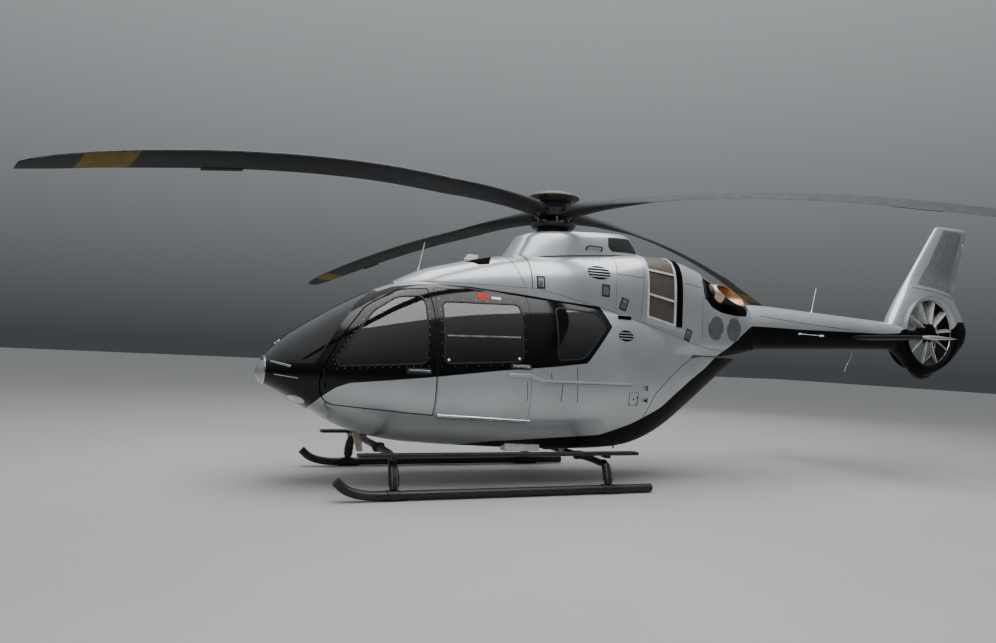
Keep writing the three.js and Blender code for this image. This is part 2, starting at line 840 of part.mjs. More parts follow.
let fan = aboutFan(cylinder(150, 110, 0, 110, 20));
for (let i = 0; i < FAN_BLADES; i++) {
  const vane = new THREE.BoxGeometry(62, 12, FAN_TIP - 90);
  vane.translate(0, 0, (FAN_TIP + 90) / 2);
  vane.rotateZ(0.5);
  vane.rotateY((i / FAN_BLADES) * Math.PI * 2);
  vane.translate(FAN_X, 60, FAN_Z);
  fan = fan.add(solid(vane));
}
const sweep = aboutFan(cylinder(FAN_TIP, FAN_TIP, -200, 200, 40));
place("tail_fan", fan.intersect(sweep), 0xc3c6c8, METAL);

// Stabiliser halves outside the boom
function wing(extra) {
  const sections = [
    [-1325, 7600, 8110, 14],
    [-1290, 7560, 8125, 26],
    [-60, 7545, 8135, 34],
  ];
  return loft(
    sections.map(([y, front, rear, half]) => {
      const ring = [];
      for (let i = 0; i < 16; i++) {
        const turn = ((i + 0.5) / 16) * Math.PI * 2;
        const f = (1 - Math.cos(turn)) / 2;
        const fat = 1.35 * Math.sqrt(f * (1 - f)) * (1.25 - 0.75 * f) + 0.04;
        const x = front + f * (rear - front);
        const z = 1810 + (half * 1.6 * fat + extra) * Math.sign(Math.sin(turn));
        ring.push(new THREE.Vector3(x, y, z));
      }
      return ring;
    }),
  );
}
pair("stabiliser", wing(0).subtract(boom(GAP)), BLACK, METAL);

// Rubber bumper under the shroud
const bumper = bar(
  [
    [9000, 0, 1405],
    [9100, 0, 1340],
    [9215, 0, 1314],
    [9330, 0, 1332],
    [9420, 0, 1380],
  ],
  28,
  8,
  8,
).subtract(finGrown);
place("tail_bumper", bumper, 0x1b1b1b);

// Landing gear
const SKID_PATH = [
  [640, -1000, 184],
  [715, -1000, 118],
  [800, -1000, 79],
  [920, -1000, 55],
  [1060, -1000, 48],
  [1500, -1000, 48],
  [3900, -1000, 48],
];
const skid = join(
  bar(SKID_PATH, 42, 14, 10),
  box(1050, 1290, -1018, -982, 0, 12),
  box(3260, 3560, -1018, -982, 0, 12),
);
pair("skid_tube", skid, GREY, METAL);
function crossTube(x, high, radius = 34) {
  const half = [
    [x, -1000, 102],
    [x, -978, 190],
    [x, -925, 290],
    [x, -840, high - 12],
    [x, -640, high],
    [x, -400, high],
    [x, 20, high],
  ];
  return both(bar(half, radius, 11, 8));
}
const skidFat = both(bar(SKID_PATH, 42 + GAP, 14, 10));
const podGrown = pod(-GAP);
const saddle = (x) => both(box(x - 60, x + 60, -430, -330, 330, 560));
function gearBow(x, high) {
  const feet = both(box(x - 70, x + 70, -1035, -965, 60, 150));
  return join(crossTube(x, high), saddle(x), feet).subtract(podGrown).subtract(skidFat);
}
place("cross_tube_front", gearBow(1160, 395), GREY, METAL);
place("cross_tube_rear", gearBow(3385, 300), GREY, METAL);

// Long steps carried on the cross tubes
const bows = join(crossTube(1160, 395, 34 + GAP), crossTube(3385, 300, 34 + GAP));
const sideStep = join(
  box(830, 3740, -1010, -905, 380, 415),
  box(1160 - 28, 1160 + 28, -1000, -880, 290, 380.5),
  box(3385 - 28, 3385 + 28, -1000, -880, 290, 380.5),
);
pair("side_step", sideStep.subtract(bows), BLACK);

// Rotating head
const shaft = cylinder(72, 72, 2600 + GAP, HUB_LOW + 5, 20);
const plate = cylinder(215, 215, HUB_LOW, 3035, 24);
const post = cylinder(150, 150, 3030, CAP_Z, 24);
let hub = join(shaft, plate, post);
for (const blade of blades) {
  const z = droop(HUB_ARM, blade);
  hub = hub.add(box(150, HUB_ARM, -80, 80, z - 30, z + 30).rotate([0, 0, blade.angle]));
}
place("rotor_hub", hub.translate([MAST, 0, 0]), GREY, METAL);
const cap = lathe([
  [0, CAP_Z + GAP],
  [150, CAP_Z + GAP],
  [284, CAP_Z + 46],
  [288, CAP_Z + 58],
  [262, CAP_Z + 82],
  [200, CAP_Z + 104],
  [110, CAP_Z + 120],
  [0, CAP_Z + 126],
]).translate([MAST, 0, 0]);
place("hub_cap", cap, 0x5d5144, METAL);
let swash = cylinder(258, 235, 2800, 2850, 24).subtract(cylinder(72 + GAP, 72 + GAP, 2700, 2900, 20));
for (const { angle } of blades) {
  const rod = cylinder(13, 13, 2840, HUB_LOW - GAP, 8).translate([100, 140, 0]);
  swash = swash.add(rod.rotate([0, 0, angle]));
}
place("swashplate", swash.translate([MAST, 0, 0]), 0x8a8d90, METAL);
blades.forEach((blade, i) => {
  place("blade_" + (i + 1), loft(spanRows.map((s) => bladeRing(s, blade))), 0x3a3d42);
});

const root = new THREE.Group();
root.name = "helicopter";
for (const node of parts) root.add(node);
export default root;
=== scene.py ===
# Looks of the light twin-engine helicopter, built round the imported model.
# Sizes are millimetres at stations from the nose tip, as in the part's source.
import math

import bmesh
import bpy
from mathutils import Matrix, Vector
from mathutils.bvhtree import BVHTree


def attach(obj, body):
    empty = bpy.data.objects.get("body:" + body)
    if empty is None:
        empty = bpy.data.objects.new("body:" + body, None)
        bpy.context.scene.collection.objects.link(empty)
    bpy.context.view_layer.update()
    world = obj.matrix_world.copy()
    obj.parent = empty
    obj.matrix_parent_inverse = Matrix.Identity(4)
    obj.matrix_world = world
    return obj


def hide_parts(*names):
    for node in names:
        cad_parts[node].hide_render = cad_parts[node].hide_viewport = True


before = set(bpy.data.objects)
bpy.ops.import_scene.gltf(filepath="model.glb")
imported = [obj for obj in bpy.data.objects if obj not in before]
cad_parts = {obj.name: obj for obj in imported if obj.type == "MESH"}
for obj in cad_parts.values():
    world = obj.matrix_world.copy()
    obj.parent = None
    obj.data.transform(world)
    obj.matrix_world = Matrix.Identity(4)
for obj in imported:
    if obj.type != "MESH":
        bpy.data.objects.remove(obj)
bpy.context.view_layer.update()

# Driving sizes, as in the part's source
CENTRE = 4188
MAST = 3140
WALL = 45
FAN_X = 9225
FAN_Z = 1962
FAN_DUCT = 462
FAN_TIP = 450
FAN_LIP = 75
FAN_FACE = 172
FIN_REACH = 10107
CAP_Z = 3100
BLADE_Z = 2972
COWL_FOOT = 1455
COWL_SPLIT = 2650
CLAM_GAP = 8
DOOR_GAP = 10
SPLIT_GAP = 11
SEAL = 4
REACH = 1500

# The camera, solved from the photograph: place, heading, tilt and roll, and its focal length in pixels
CAMERA_PLACE = (-4.836, -7.446, 1.353)
CAMERA_YAW = 23.04
CAMERA_PITCH = 2.53
CAMERA_ROLL = 2.79
FOCAL_PIXELS = 736.92
PHOTO_WIDTH = 996
SENSOR = 36.0

# Rows of a table as named values
def rows_of(columns, table):
    names = columns.split()
    return [dict(zip(names, row)) for row in table]


POD = rows_of("x belly roof widest half above below", [
    [0, 1060, 1060, 1060, 0, 2.0, 2.0],
    [30, 990, 1155, 1070, 135, 2.0, 2.0],
    [100, 945, 1268, 1080, 250, 2.05, 2.05],
    [250, 865, 1422, 1080, 390, 2.1, 2.1],
    [500, 720, 1602, 1080, 530, 2.15, 2.2],
    [850, 550, 1820, 1080, 655, 2.2, 2.35],
    [1250, 445, 2010, 1080, 735, 2.3, 2.5],
    [1650, 405, 2110, 1080, 770, 2.45, 2.6],
    [2200, 375, 2150, 1100, 780, 2.6, 2.65],
    [2900, 345, 2160, 1120, 780, 2.65, 2.7],
    [3600, 345, 2160, 1170, 750, 2.7, 2.7],
    [4050, 385, 2160, 1240, 695, 2.7, 2.65],
    [4450, 530, 2160, 1350, 615, 2.65, 2.5],
    [4850, 785, 2155, 1480, 510, 2.55, 2.35],
    [5250, 1075, 2150, 1620, 405, 2.4, 2.2],
    [5620, 1345, 2145, 1750, 320, 2.25, 2.1],
    [5850, 1500, 2140, 1840, 285, 2.15, 2.05],
])
COWL = rows_of("x mid top half above", [
    [1300, 1950, 2050, 150, 2.2],
    [1600, 1950, 2200, 360, 2.4],
    [1900, 1950, 2290, 460, 2.6],
    [2200, 1940, 2370, 520, 2.7],
    [2600, 1900, 2440, 575, 2.8],
    [3140, 1860, 2500, 610, 3.0],
    [3600, 1820, 2530, 635, 3.5],
    [4050, 1780, 2560, 645, 4.6],
    [4450, 1740, 2560, 628, 4.6],
    [4900, 1720, 2485, 560, 3.5],
    [5250, 1720, 2375, 480, 2.9],
    [5550, 1730, 2250, 400, 2.6],
    [5850, 1760, 2140, 305, 2.3],
])
# Under the cowl's sides: heights, and how far each draws in towards the pod
COWL_TUCK = [[1600, 0], [1560, 0.08], [1520, 0.36], [1485, 0.72], [COWL_FOOT, 1.0], [1300, 1.7]]
BOOM = rows_of("x low high half", [
    [4730, 1470, 1960, 330],
    [5250, 1470, 2010, 330],
    [5620, 1480, 2070, 310],
    [5850, 1545, 2125, 285],
    [6200, 1575, 2140, 270],
    [6900, 1610, 2120, 240],
    [7700, 1650, 2095, 208],
    [8300, 1675, 2075, 185],
    [8440, 1680, 2070, 180],
    [8780, 1700, 2060, 160],
])
FIN = rows_of("z front rear half blunt", [
    [1324, 9170, 9260, 45, 2.2],
    [1372, 9070, 9410, 95, 2.2],
    [1440, 8955, 9560, 128, 2.4],
    [1520, 8875, 9695, 148, 2.6],
    [1620, 8735, 9830, 162, 2.7],
    [1740, 8550, 9950, 170, 2.8],
    [1850, 8470, 10050, 172, 2.9],
    [2030, 8490, 10095, 172, 2.9],
    [2200, 8565, 10010, 168, 2.8],
    [2400, 8680, 9880, 152, 2.6],
    [2500, 8745, 9845, 140, 2.5],
    [2600, 8805, 9885, 126, 2.4],
    [2800, 8940, 9905, 95, 2.2],
    [3100, 9150, 9995, 80, 2.2],
    [3480, 9420, 10110, 66, 2.2],
    [3545, 9480, 10105, 40, 2.2],
])
FAIRING = rows_of("front rear half low high", [
    [2500, 4290, 410, 2340, 2440],
    [2560, 4240, 392, 2450, 2550],
    [2640, 4160, 368, 2580, 2675],
    [2700, 4100, 340, 2670, 2760],
    [2780, 4030, 295, 2712, 2800],
])
SPAN = rows_of("span chord lead thick round pitch", [
    [241, 190, 95, 150, 1, 20],
    [420, 215, 105, 150, 1, 20],
    [700, 240, 108, 112, 1, 20],
    [1000, 262, 100, 86, 0.9, 20],
    [1300, 280, 85, 60, 0.5, 20],
    [1550, 289, 72, 40, 0, 20],
    [2400, 289, 72, 35, 0, 20],
    [3400, 289, 72, 34, 0, 20],
    [4200, 289, 72, 32, 0, 19],
    [4700, 289, 72, 30, 0, 15],
    [4950, 272, 58, 26, 0, 13],
    [5110, 215, 22, 20, 0, 12],
    [5200, 140, -30, 10, 0, 12],
])
BLADES = rows_of("angle rise sag feather", [
    [202.4, 95, 38, 0],
    [112.4, -16, 20, -11],
    [22.4, 68, 38, 0],
    [-67.6, 68, 38, 0],
])

# Lower edge of the cowlings, seen from the side
SEAM = [
    [1000, 2050], [2700, 2050], [3000, 1995], [3500, 1890], [4040, 1750], [4670, 1580],
    [4950, 1530], [5250, 1520], [5600, 1560], [6000, 1600],
]
CREW_DOOR = [
    [562, 880], [640, 815], [1900, 720], [1900, 1985], [1280, 1945], [950, 1750], [770, 1520],
    [680, 1380], [580, 1190], [530, 1010],
]
CREW_DOOR_REAR = 1592
CREW_BEVEL = 0.15
CREW_WINDOW = [
    [690, 1176], [1010, 1198], [1480, 1232], [1500, 1800], [1470, 1885], [1250, 1865], [1020, 1715],
    [850, 1490], [760, 1360], [672, 1225],
]
SLIDE_DOOR = [[1606, 712], [2580, 672], [2580, 1960], [1606, 1985]]
WINDOW_BAR = [[1690, 1508], [2455, 1530]]
SLIDE_WINDOW = [[1665, 1240], [2480, 1290], [2480, 1860], [1665, 1840]]
REAR_WINDOW = [[2880, 1320], [3190, 1350], [3480, 1700], [3370, 1840], [2890, 1860]]
WINDSCREEN = [
    [-200, 1180], [500, 1195], [600, 1380], [690, 1530], [870, 1770], [1060, 1925], [1060, 2200],
    [-200, 2200],
]
CLAM_FRONT = [
    [4010, 0], [4030, 770], [4160, 1010], [4430, 1240], [4710, 1420], [4900, 1445], [6400, 1445],
    [6400, 0],
]
CLAM_END = 5620
INTAKE = [[4030, 1848], [4400, 1768], [4400, 2700], [4030, 2700]]
EXHAUST_HOLE = [
    [4860, 2150], [4980, 2020], [5170, 1965], [5450, 1950], [5730, 1960], [5790, 2060],
    [5640, 2500], [4960, 2500], [4870, 2300],
]
# Heights of the two bars across each intake, at their front and rear ends
INTAKE_BARS = [[2101, 2031], [2372, 2332]]
PIPE_RADIUS = 112
PIPE_FLARE = 24
PIPE_MOUTH = [5345, -450, 2178]
EXHAUST_PATH = [
    [4810, -270, 2190], [5000, -300, 2190], [5230, -380, 2190], [5420, -500, 2195],
    [5560, -595, 2200],
]

# Hinge pins of the port doors, station and side, and the heights of their knuckles
CREW_PIN = [562, -576]
CREW_LUGS = [[950, 1000], [1095, 1145]]
CLAM_PIN = [4010, -716]
CLAM_LUGS = [[905, 955], [1035, 1085]]

# Joints between skin panels, station and height along each
COWL_JOINTS = [
    [[3672, 2440], [3622, 2200], [3622, 1885]],
    [[3990, 2475], [3952, 2016], [3938, 1800]],
    [[3641, 2286], [3965, 2266]],
    [[4536, 2261], [4841, 2233]],
    [[4835, 2130], [4835, 1640]],
]
FRONT_JOINTS = [
    [[2440, 2395], [2500, 2230], [2560, 2065]],
]
BODY_JOINTS = [
    [[2802, 1190], [2811, 1120]],
    [[2944, 1098], [2931, 905]],
    [[3103, 1245], [3118, 1085], [3127, 895]],
    [[2950, 1102], [3112, 1099]],
    [[3780, 870], [3780, 1010], [3900, 1010], [3900, 872], [3786, 870]],
]

# Paint lines, station and height: the band's top and lower edge, and the dark keel that runs into the boom;
# the keel line is raised in places under the belly, so it is partly real paint and partly a painted
# reflection of the dark ground
BAND_TOP = [
    [0, 2600], [1050, 2600], [1060, 1905], [1250, 1980], [1600, 2030], [1990, 2020], [2520, 1980],
    [2970, 1940], [3440, 1910], [3550, 1700],
]
BAND_LOW = [
    [0, 0], [455, 0], [465, 735], [480, 770], [550, 870], [670, 970], [790, 1020], [1520, 1100],
    [2240, 1190], [2840, 1250], [3230, 1300], [3550, 1700],
]
KEEL_AND_GROUND_REFLECTION = [
    [0, 0], [1700, 375], [2300, 468], [2880, 510], [3500, 545], [3881, 672], [4280, 850],
    [4487, 1001], [4729, 1160], [4985, 1308], [5283, 1540], [5529, 1701], [5774, 1850],
    [6070, 1856], [6630, 1857], [7350, 1873], [8230, 1889], [8560, 1915], [8630, 1982],
    [9300, 2000], [9690, 2010], [9720, 2140], [10200, 2180],
]
NOSE_CAP = 72
SIDES = ((-1, "left"), (1, "right"))

SQUARE = ((-1, -1), (1, -1), (1, 1), (-1, 1))


def at(x, y, z):
    return Vector(((x - CENTRE) / 1000, y / 1000, z / 1000))


# A row between two rows of a table, on a smooth curve through them all
def between(rows, place):
    last = len(rows) - 1
    i = min(max(math.floor(place), 0), last - 1)
    t = place - i
    out = {}
    for name in rows[0]:
        b = rows[i][name]
        c = rows[i + 1][name]
        a = rows[i - 1][name] if i > 0 else 2 * b - c
        d = rows[i + 2][name] if i + 2 <= last else 2 * c - b
        cubic = -a + 3 * b - 3 * c + d
        square = 2 * a - 5 * b + 4 * c - d
        out[name] = 0.5 * (2 * b + (c - a) * t + square * t * t + cubic * t**3)
    return out


def curved(path, steps):
    rows = rows_of("x y z", path)
    return [tuple(between(rows, i / steps).values()) for i in range(steps * (len(path) - 1) + 1)]


def power(value, exponent):
    return math.copysign(abs(value) ** exponent, value)


def ring_angles(sides):
    return [(i + 0.5) / sides * math.tau for i in range(sides)]


# A flat oval, squared by the power given, with its middle and half sizes
def soft_oval(a, b, wide, tall, square, sides):
    turns = ring_angles(sides)
    return [(a + wide * power(math.cos(t), square), b + tall * power(math.sin(t), square)) for t in turns]


def circle(a, b, radius, sides):
    turns = [i / sides * math.tau for i in range(sides)]
    return [(a + radius * math.cos(t), b + radius * math.sin(t)) for t in turns]


# Flat points turned by some degrees and moved to a place
def placed(points, x, z, tilt):
    c = math.cos(math.radians(tilt))
    d = math.sin(math.radians(tilt))
    return [[x + a * c - b * d, z + a * d + b * c] for a, b in points]


def oval(x, z, long, short, tilt=0.0, count=28):
    return placed([(long * a, short * b) for a, b in circle(0, 0, 1, count)], x, z, tilt)


def tilted(x, z, wide, tall, tilt):
    return placed([(a * wide / 2, b * tall / 2) for a, b in SQUARE], x, z, tilt)


# Outline corners drawn as short curves
def rounded(points, radius, steps=6):
    corners = [Vector(p) for p in points]
    if radius <= 0:
        return corners
    out = []
    for last, here, following in zip(corners[-1:] + corners, corners, corners[1:] + corners[:1]):
        before = last - here
        after = following - here
        cut = min(radius, before.length / 2.2, after.length / 2.2)
        start = here + before.normalized() * cut
        end = here + after.normalized() * cut
        for t in [step / steps for step in range(steps + 1)]:
            out.append(start * (1 - t) ** 2 + here * 2 * t * (1 - t) + end * t * t)
    return out


# An outline moved outwards by so many millimetres
def grown(points, by):
    corners = [Vector(p) for p in points]
    following = corners[1:] + corners[:1]
    by = math.copysign(by, by * sum(a.x * b.y - b.x * a.y for a, b in zip(corners, following)))
    out = []
    for last, here, after in zip(corners[-1:] + corners, corners, following):
        first = (here - last).normalized()
        second = (after - here).normalized()
        push = Vector((first.y + second.y, -first.x - second.x)) * by / (1 + first.dot(second))
        out.append(list(here + push))
    return out


# Places along a line, no further apart than a step
def dotted(corners, step):
    out = []
    for a, b in zip(corners, corners[1:]):
        parts = max(1, math.ceil((b - a).length / step))
        out += [a.lerp(b, i / parts) for i in range(parts)]
    return out


# Meshes and cuts
def only(piece):
    bpy.ops.object.select_all(action="DESELECT")
    piece.select_set(True)
    bpy.context.view_layer.objects.active = piece


def linked(name, data):
    piece = bpy.data.objects.new(name, data)
    bpy.context.scene.collection.objects.link(piece)
    return piece


# A skin from ring to ring, its doubles merged and its faces turned outwards
def loft(rings, closed=True):
    count = len(rings[0])
    last = (len(rings) - 1) * count
    faces = []
    for a in range(0, last, count):
        for j in range(count):
            k = (j + 1) % count
            faces.append((a + j, a + k, a + count + k, a + count + j))
    if closed:
        faces += [tuple(range(count)), tuple(range(last, last + count))]
    mesh = bpy.data.meshes.new("skin")
    mesh.from_pydata([at(*p) for ring in rings for p in ring], [], faces)
    mesh.validate()
    bm = bmesh.new()
    bm.from_mesh(mesh)
    bmesh.ops.remove_doubles(bm, verts=bm.verts, dist=0.00002)
    bmesh.ops.recalc_face_normals(bm, faces=bm.faces)
    if bm.calc_volume(signed=True) < 0:
        bmesh.ops.reverse_faces(bm, faces=bm.faces)
    bm.to_mesh(mesh)
    bm.free()
    return linked("skin", mesh)


def prism(points, y0, y1, radius=0):
    edge = rounded(points, radius)
    return loft([[(p.x, y, p.y) for p in edge] for y in (y0, y1)])


def box(x0, x1, y0, y1, z0, z1):
    return prism([[x0, z0], [x1, z0], [x1, z1], [x0, z1]], y0, y1)


# A tube along a path, with one radius or one for each place
def tube(path, radius, sides=24):
    points = [Vector(p) for p in path]
    rings = []
    for i, p in enumerate(points):
        along = (points[min(i + 1, len(points) - 1)] - points[max(i - 1, 0)]).normalized()
        side = along.cross(Vector((0, 0, 1))).normalized()
        lift = side.cross(along)
        wide = radius[i] if isinstance(radius, list) else radius
        rings.append([tuple(p + side * a + lift * b) for a, b in circle(0, 0, wide, sides)])
    return loft(rings)


# Turned about an upright line: the profile gives radius and height
def turned_at(spot, profile, sides):
    return loft([[(x, y, z) for x, y in circle(*spot, radius, sides)] for radius, z in profile])


def turned_mast(profile, sides=64):
    return turned_at((MAST, 0), profile, sides)


# Turned about the fan axis: the profile gives radius and place along +Y
def turned_fan(profile, sides=96, capped=True):
    rings = [[(x, y, z) for x, z in circle(FAN_X, FAN_Z, radius, sides)] for radius, y in profile]
    return loft(rings, capped)


def applied(piece, kind, **settings):
    change = piece.modifiers.new("change", kind)
    for name, value in settings.items():
        setattr(change, name, value)
    only(piece)
    bpy.ops.object.modifier_apply(modifier=change.name)
    return piece


def carve(piece, tool, how="DIFFERENCE", keep=False):
    applied(piece, "BOOLEAN", operation=how, solver="MANIFOLD", object=tool)
    if not keep:
        bpy.data.objects.remove(tool)
    return piece


# What two solids share, with the first one kept
def shared(piece, tool, keep=False):
    return carve(copy_of(piece), tool, "INTERSECT", keep)


def cube(size, matrix):
    bpy.ops.object.select_all(action="DESELECT")
    bpy.ops.mesh.primitive_cube_add(size=size)
    piece = bpy.context.object
    piece.data.transform(matrix)
    return piece


def plate(x0, x1, y0, y1, z0, z1, round_off=3):
    low = at(x0, y0, z0)
    high = at(x1, y1, z1)
    block = cube(1, Matrix.Translation((low + high) / 2) @ Matrix.Diagonal([*(high - low), 1]))
    return applied(block, "BEVEL", width=round_off / 1000, segments=3)


def copy_of(piece, name="copy"):
    return linked(name, piece.data.copy())


def mirrored(piece):
    twin = copy_of(piece)
    bm = bmesh.new()
    bm.from_mesh(twin.data)
    bmesh.ops.scale(bm, vec=(1, -1, 1), verts=bm.verts)
    bmesh.ops.reverse_faces(bm, faces=bm.faces)
    bm.to_mesh(twin.data)
    bm.free()
    return twin


def cut_both(piece, tool):
    twin = mirrored(tool)
    carve(piece, tool)
    return carve(piece, twin)


def merged(pieces):
    only(pieces[0])
    for piece in pieces:
        piece.select_set(True)
    if len(pieces) > 1:
        bpy.ops.object.join()
    return pieces[0]


# Gives a piece, or several joined into one, its name, finish and body
def finished(name, made, slot, material, body="airframe", *nodes, angle=32):
    piece = merged(made) if isinstance(made, list) else made
    piece.name = name
    only(piece)
    bpy.ops.object.shade_smooth_by_angle(angle=math.radians(angle))
    piece.data.materials.clear()
    piece.data.materials.append(material)
    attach(piece, body)
    if nodes:
        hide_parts(*nodes)
    return piece


# The same for a port piece and its starboard twin, each on its own side's leaf where it moves
def paired(stem, made, slot, material, body="airframe", *nodes):
    port = merged(made) if isinstance(made, list) else made
    twin = mirrored(port)
    for piece, side in ((port, "left"), (twin, "right")):
        owner = body if body == "airframe" else f"{body}_{side}"
        finished(f"{stem}_{side}_skin", piece, slot, material, owner, *[f"{n}_{side}" for n in nodes])
        if stem in ("crew_door", "sliding_door", "clamshell"):
            trimmed_inside(piece, pod_skin)


# Colours and materials
def linear(code):
    parts = [int(code[i : i + 2], 16) / 255 for i in (1, 3, 5)]
    return [c / 12.92 if c <= 0.04045 else ((c + 0.055) / 1.055) ** 2.4 for c in parts] + [1.0]


# Links or sets inputs: a list fills the first ones in turn, and a text is a colour's hex code
def feed(node, inputs):
    for key, value in inputs.items() if isinstance(inputs, dict) else enumerate(inputs):
        if isinstance(value, bpy.types.NodeSocket):
            node.id_data.links.new(value, node.inputs[key])
        else:
            node.inputs[key].default_value = linear(value) if isinstance(value, str) else value


def add_node(tree, kind, inputs, out=0, **settings):
    node = tree.nodes.new("ShaderNode" + kind)
    for name, value in settings.items():
        setattr(node, name, value)
    feed(node, inputs)
    return node.outputs[out]


def new_material(name):
    material = bpy.data.materials.new(name)
    material.use_nodes = True
    tree = material.node_tree
    return material, tree, tree.nodes["Principled BSDF"], add_node(tree, "TexCoord", {}, "Object")


# Height of a paint line over stations, as a curve node gives it
def paint_line(tree, along, points):
    reach = 10300
    top = 2600
    ends = [-CENTRE / 1000, (reach - CENTRE) / 1000]
    line = add_node(tree, "FloatCurve", {"Value": add_node(tree, "MapRange", [along, *ends, 0, 1])})
    curve = line.node.mapping.curves[0]
    for x, z in points[1:-1]:
        curve.points.new(x / reach, z / top)
    for end in (0, -1):
        curve.points[end % len(points)].location = (points[end][0] / reach, points[end][1] / top)
    for point in curve.points:
        point.handle_type = "VECTOR"
    line.node.mapping.update()
    return add_node(tree, "Math", [line, top / 1000], operation="MULTIPLY")


# One where the first value is the greater, nought elsewhere, with an edge 2 mm wide
def sharp_step(tree, upper, lower):
    gap = add_node(tree, "Math", [upper, lower], operation="SUBTRACT")
    return add_node(tree, "MapRange", [gap, -0.001, 0.001, 0, 1])


# Two-layer polyurethane lacquer sprayed on aluminium and composite: silver with metal flake
# under a clear coat, plain gloss black in the band, and a matt chip-proof black on the keel that also paints
# the ground's dark reflection
def body_lacquer(scheme):
    material, tree, surface, place = new_material("lacquer_" + scheme)
    axes = add_node(tree, "SeparateXYZ", [place]).node.outputs
    flake = add_node(tree, "TexVoronoi", {"Vector": place, "Scale": 500}, 1)
    cloud = add_node(tree, "TexNoise", {"Vector": place, "Scale": 2.2, "Detail": 4, "Roughness": 0.6})
    fine = add_node(tree, "TexNoise", {"Vector": place, "Scale": 26, "Detail": 6, "Roughness": 0.65})
    patch = add_node(tree, "MapRange", [cloud, 0.3, 0.7, 0, 1])
    silver = add_node(tree, "Mix", {0: patch, 6: "#a4a8ac", 7: "#b4b8bc"}, 2, data_type="RGBA")
    glint = add_node(tree, "MapRange", [flake, 0, 1, 0, 0.12])
    silver = add_node(tree, "Mix", {0: glint, 6: silver, 7: "#e6e8ea"}, 2, data_type="RGBA")
    dust = add_node(tree, "MapRange", [fine, 0.52, 0.75, 0, 0.22])
    black = add_node(tree, "Mix", {0: dust, 6: "#060607", 7: "#141416"}, 2, data_type="RGBA")
    if scheme == "body":
        edges = [
            sharp_step(tree, paint_line(tree, axes[0], BAND_TOP), axes[2]),
            sharp_step(tree, axes[2], paint_line(tree, axes[0], BAND_LOW)),
            sharp_step(tree, (BAND_TOP[-1][0] - CENTRE) / 1000, axes[0]),
            sharp_step(tree, axes[0], (NOSE_CAP - CENTRE) / 1000),
        ]
        band = edges[0]
        for edge in edges[1:]:
            band = add_node(tree, "Math", [band, edge], operation="MULTIPLY")
        # Keel mask: real matt black paint, its line raised in places so it also paints the dark reflection of
        # the ground under the belly
        matt = sharp_step(tree, paint_line(tree, axes[0], KEEL_AND_GROUND_REFLECTION), axes[2])
        dark = add_node(tree, "Math", [band, matt], operation="MAXIMUM")
    else:
        dark = matt = add_node(tree, "Value", {})
        dark.default_value = float(scheme == "black")
    clear = add_node(tree, "MapRange", [matt, 0, 1, 1, 0])
    coat = add_node(tree, "MapRange", [dark, 0, 1, 0.8, 0.15])
    gloss = add_node(tree, "MapRange", [dark, 0, 1, 0.5, 0.24])
    dulled = add_node(tree, "MapRange", [matt, 0, 1, 1, 0.3])
    rough = add_node(tree, "MapRange", [dark, 0, 1, 0.30, 0.10])
    for more in (
        add_node(tree, "MapRange", [fine, 0.3, 0.8, 0.0, 0.08]),
        add_node(tree, "Math", [matt, 0.3], operation="MULTIPLY"),
    ):
        rough = add_node(tree, "Math", [rough, more], operation="ADD")
    peel = add_node(tree, "TexNoise", {"Vector": place, "Scale": 90, "Detail": 2})
    feed(surface, {
        "Base Color": add_node(tree, "Mix", {0: dark, 6: silver, 7: black}, 2, data_type="RGBA"),
        "Metallic": add_node(tree, "MapRange", [dark, 0, 1, 0.62, 0.0]),
        "Roughness": rough,
        "Coat Weight": add_node(tree, "Math", [coat, clear], operation="MULTIPLY"),
        "Coat Roughness": 0.05,
        "Specular IOR Level": add_node(tree, "Math", [gloss, dulled], operation="MULTIPLY"),
        "Normal": add_node(tree, "Bump", {"Height": peel, "Strength": 1.0, "Distance": 0.00025}),
    })
    return material


# Cast acrylic sheet with a smoke tint, polished, with faint wipe marks; the tint is darkened and the sheet
# made mostly opaque, so it also paints the shade of the cabin behind
def smoked_acrylic_painted_shade():
    material, tree, surface, place = new_material("smoked_acrylic_painted_shade")
    wipe = add_node(tree, "TexNoise", {"Vector": place, "Scale": 7, "Detail": 5, "Distortion": 1.2})
    feed(surface, {
        # Near-black colour and high alpha: partly smoke tint, partly painted shade of the dark cabin seen
        # through the pane
        "Base Color": add_node(tree, "Mix", {0: wipe, 6: "#0b0c0e", 7: "#141619"}, 2, data_type="RGBA"),
        "Roughness": add_node(tree, "MapRange", [wipe, 0.35, 0.75, 0.02, 0.09]),
        "Alpha": add_node(tree, "MapRange", [wipe, 0.3, 0.8, 0.78, 0.86]),
        "IOR": 1.49,
        "Coat Weight": 1.0,
        "Coat Roughness": 0.02,
    })
    material.use_transparent_shadow = True
    return material


# Recolours a rotor finish between two distances from the mast, in metres
def tip_band(material, code, inner, outer_edge):
    tree = material.node_tree
    surface = tree.nodes["Principled BSDF"]
    old = surface.inputs["Base Color"].links[0].from_socket
    place = add_node(tree, "TexCoord", {}, "Object")
    mast = ((MAST - CENTRE) / 1000, 0, 0)
    arm = add_node(tree, "VectorMath", [place, mast], operation="SUBTRACT")
    flat = add_node(tree, "VectorMath", [arm, (1, 1, 0)], operation="MULTIPLY")
    far = add_node(tree, "VectorMath", [flat], "Value", operation="LENGTH")
    worn = add_node(tree, "TexNoise", {"Vector": place, "Scale": 18, "Detail": 5})
    band = add_node(tree, "MapRange", [worn, 0.3, 0.6, 0.6, 1])
    for edge in (sharp_step(tree, far, inner), sharp_step(tree, outer_edge, far)):
        band = add_node(tree, "Math", [band, edge], operation="MULTIPLY")
    feed(surface, {"Base Color": add_node(tree, "Mix", {0: band, 6: old, 7: code}, 2, data_type="RGBA")})
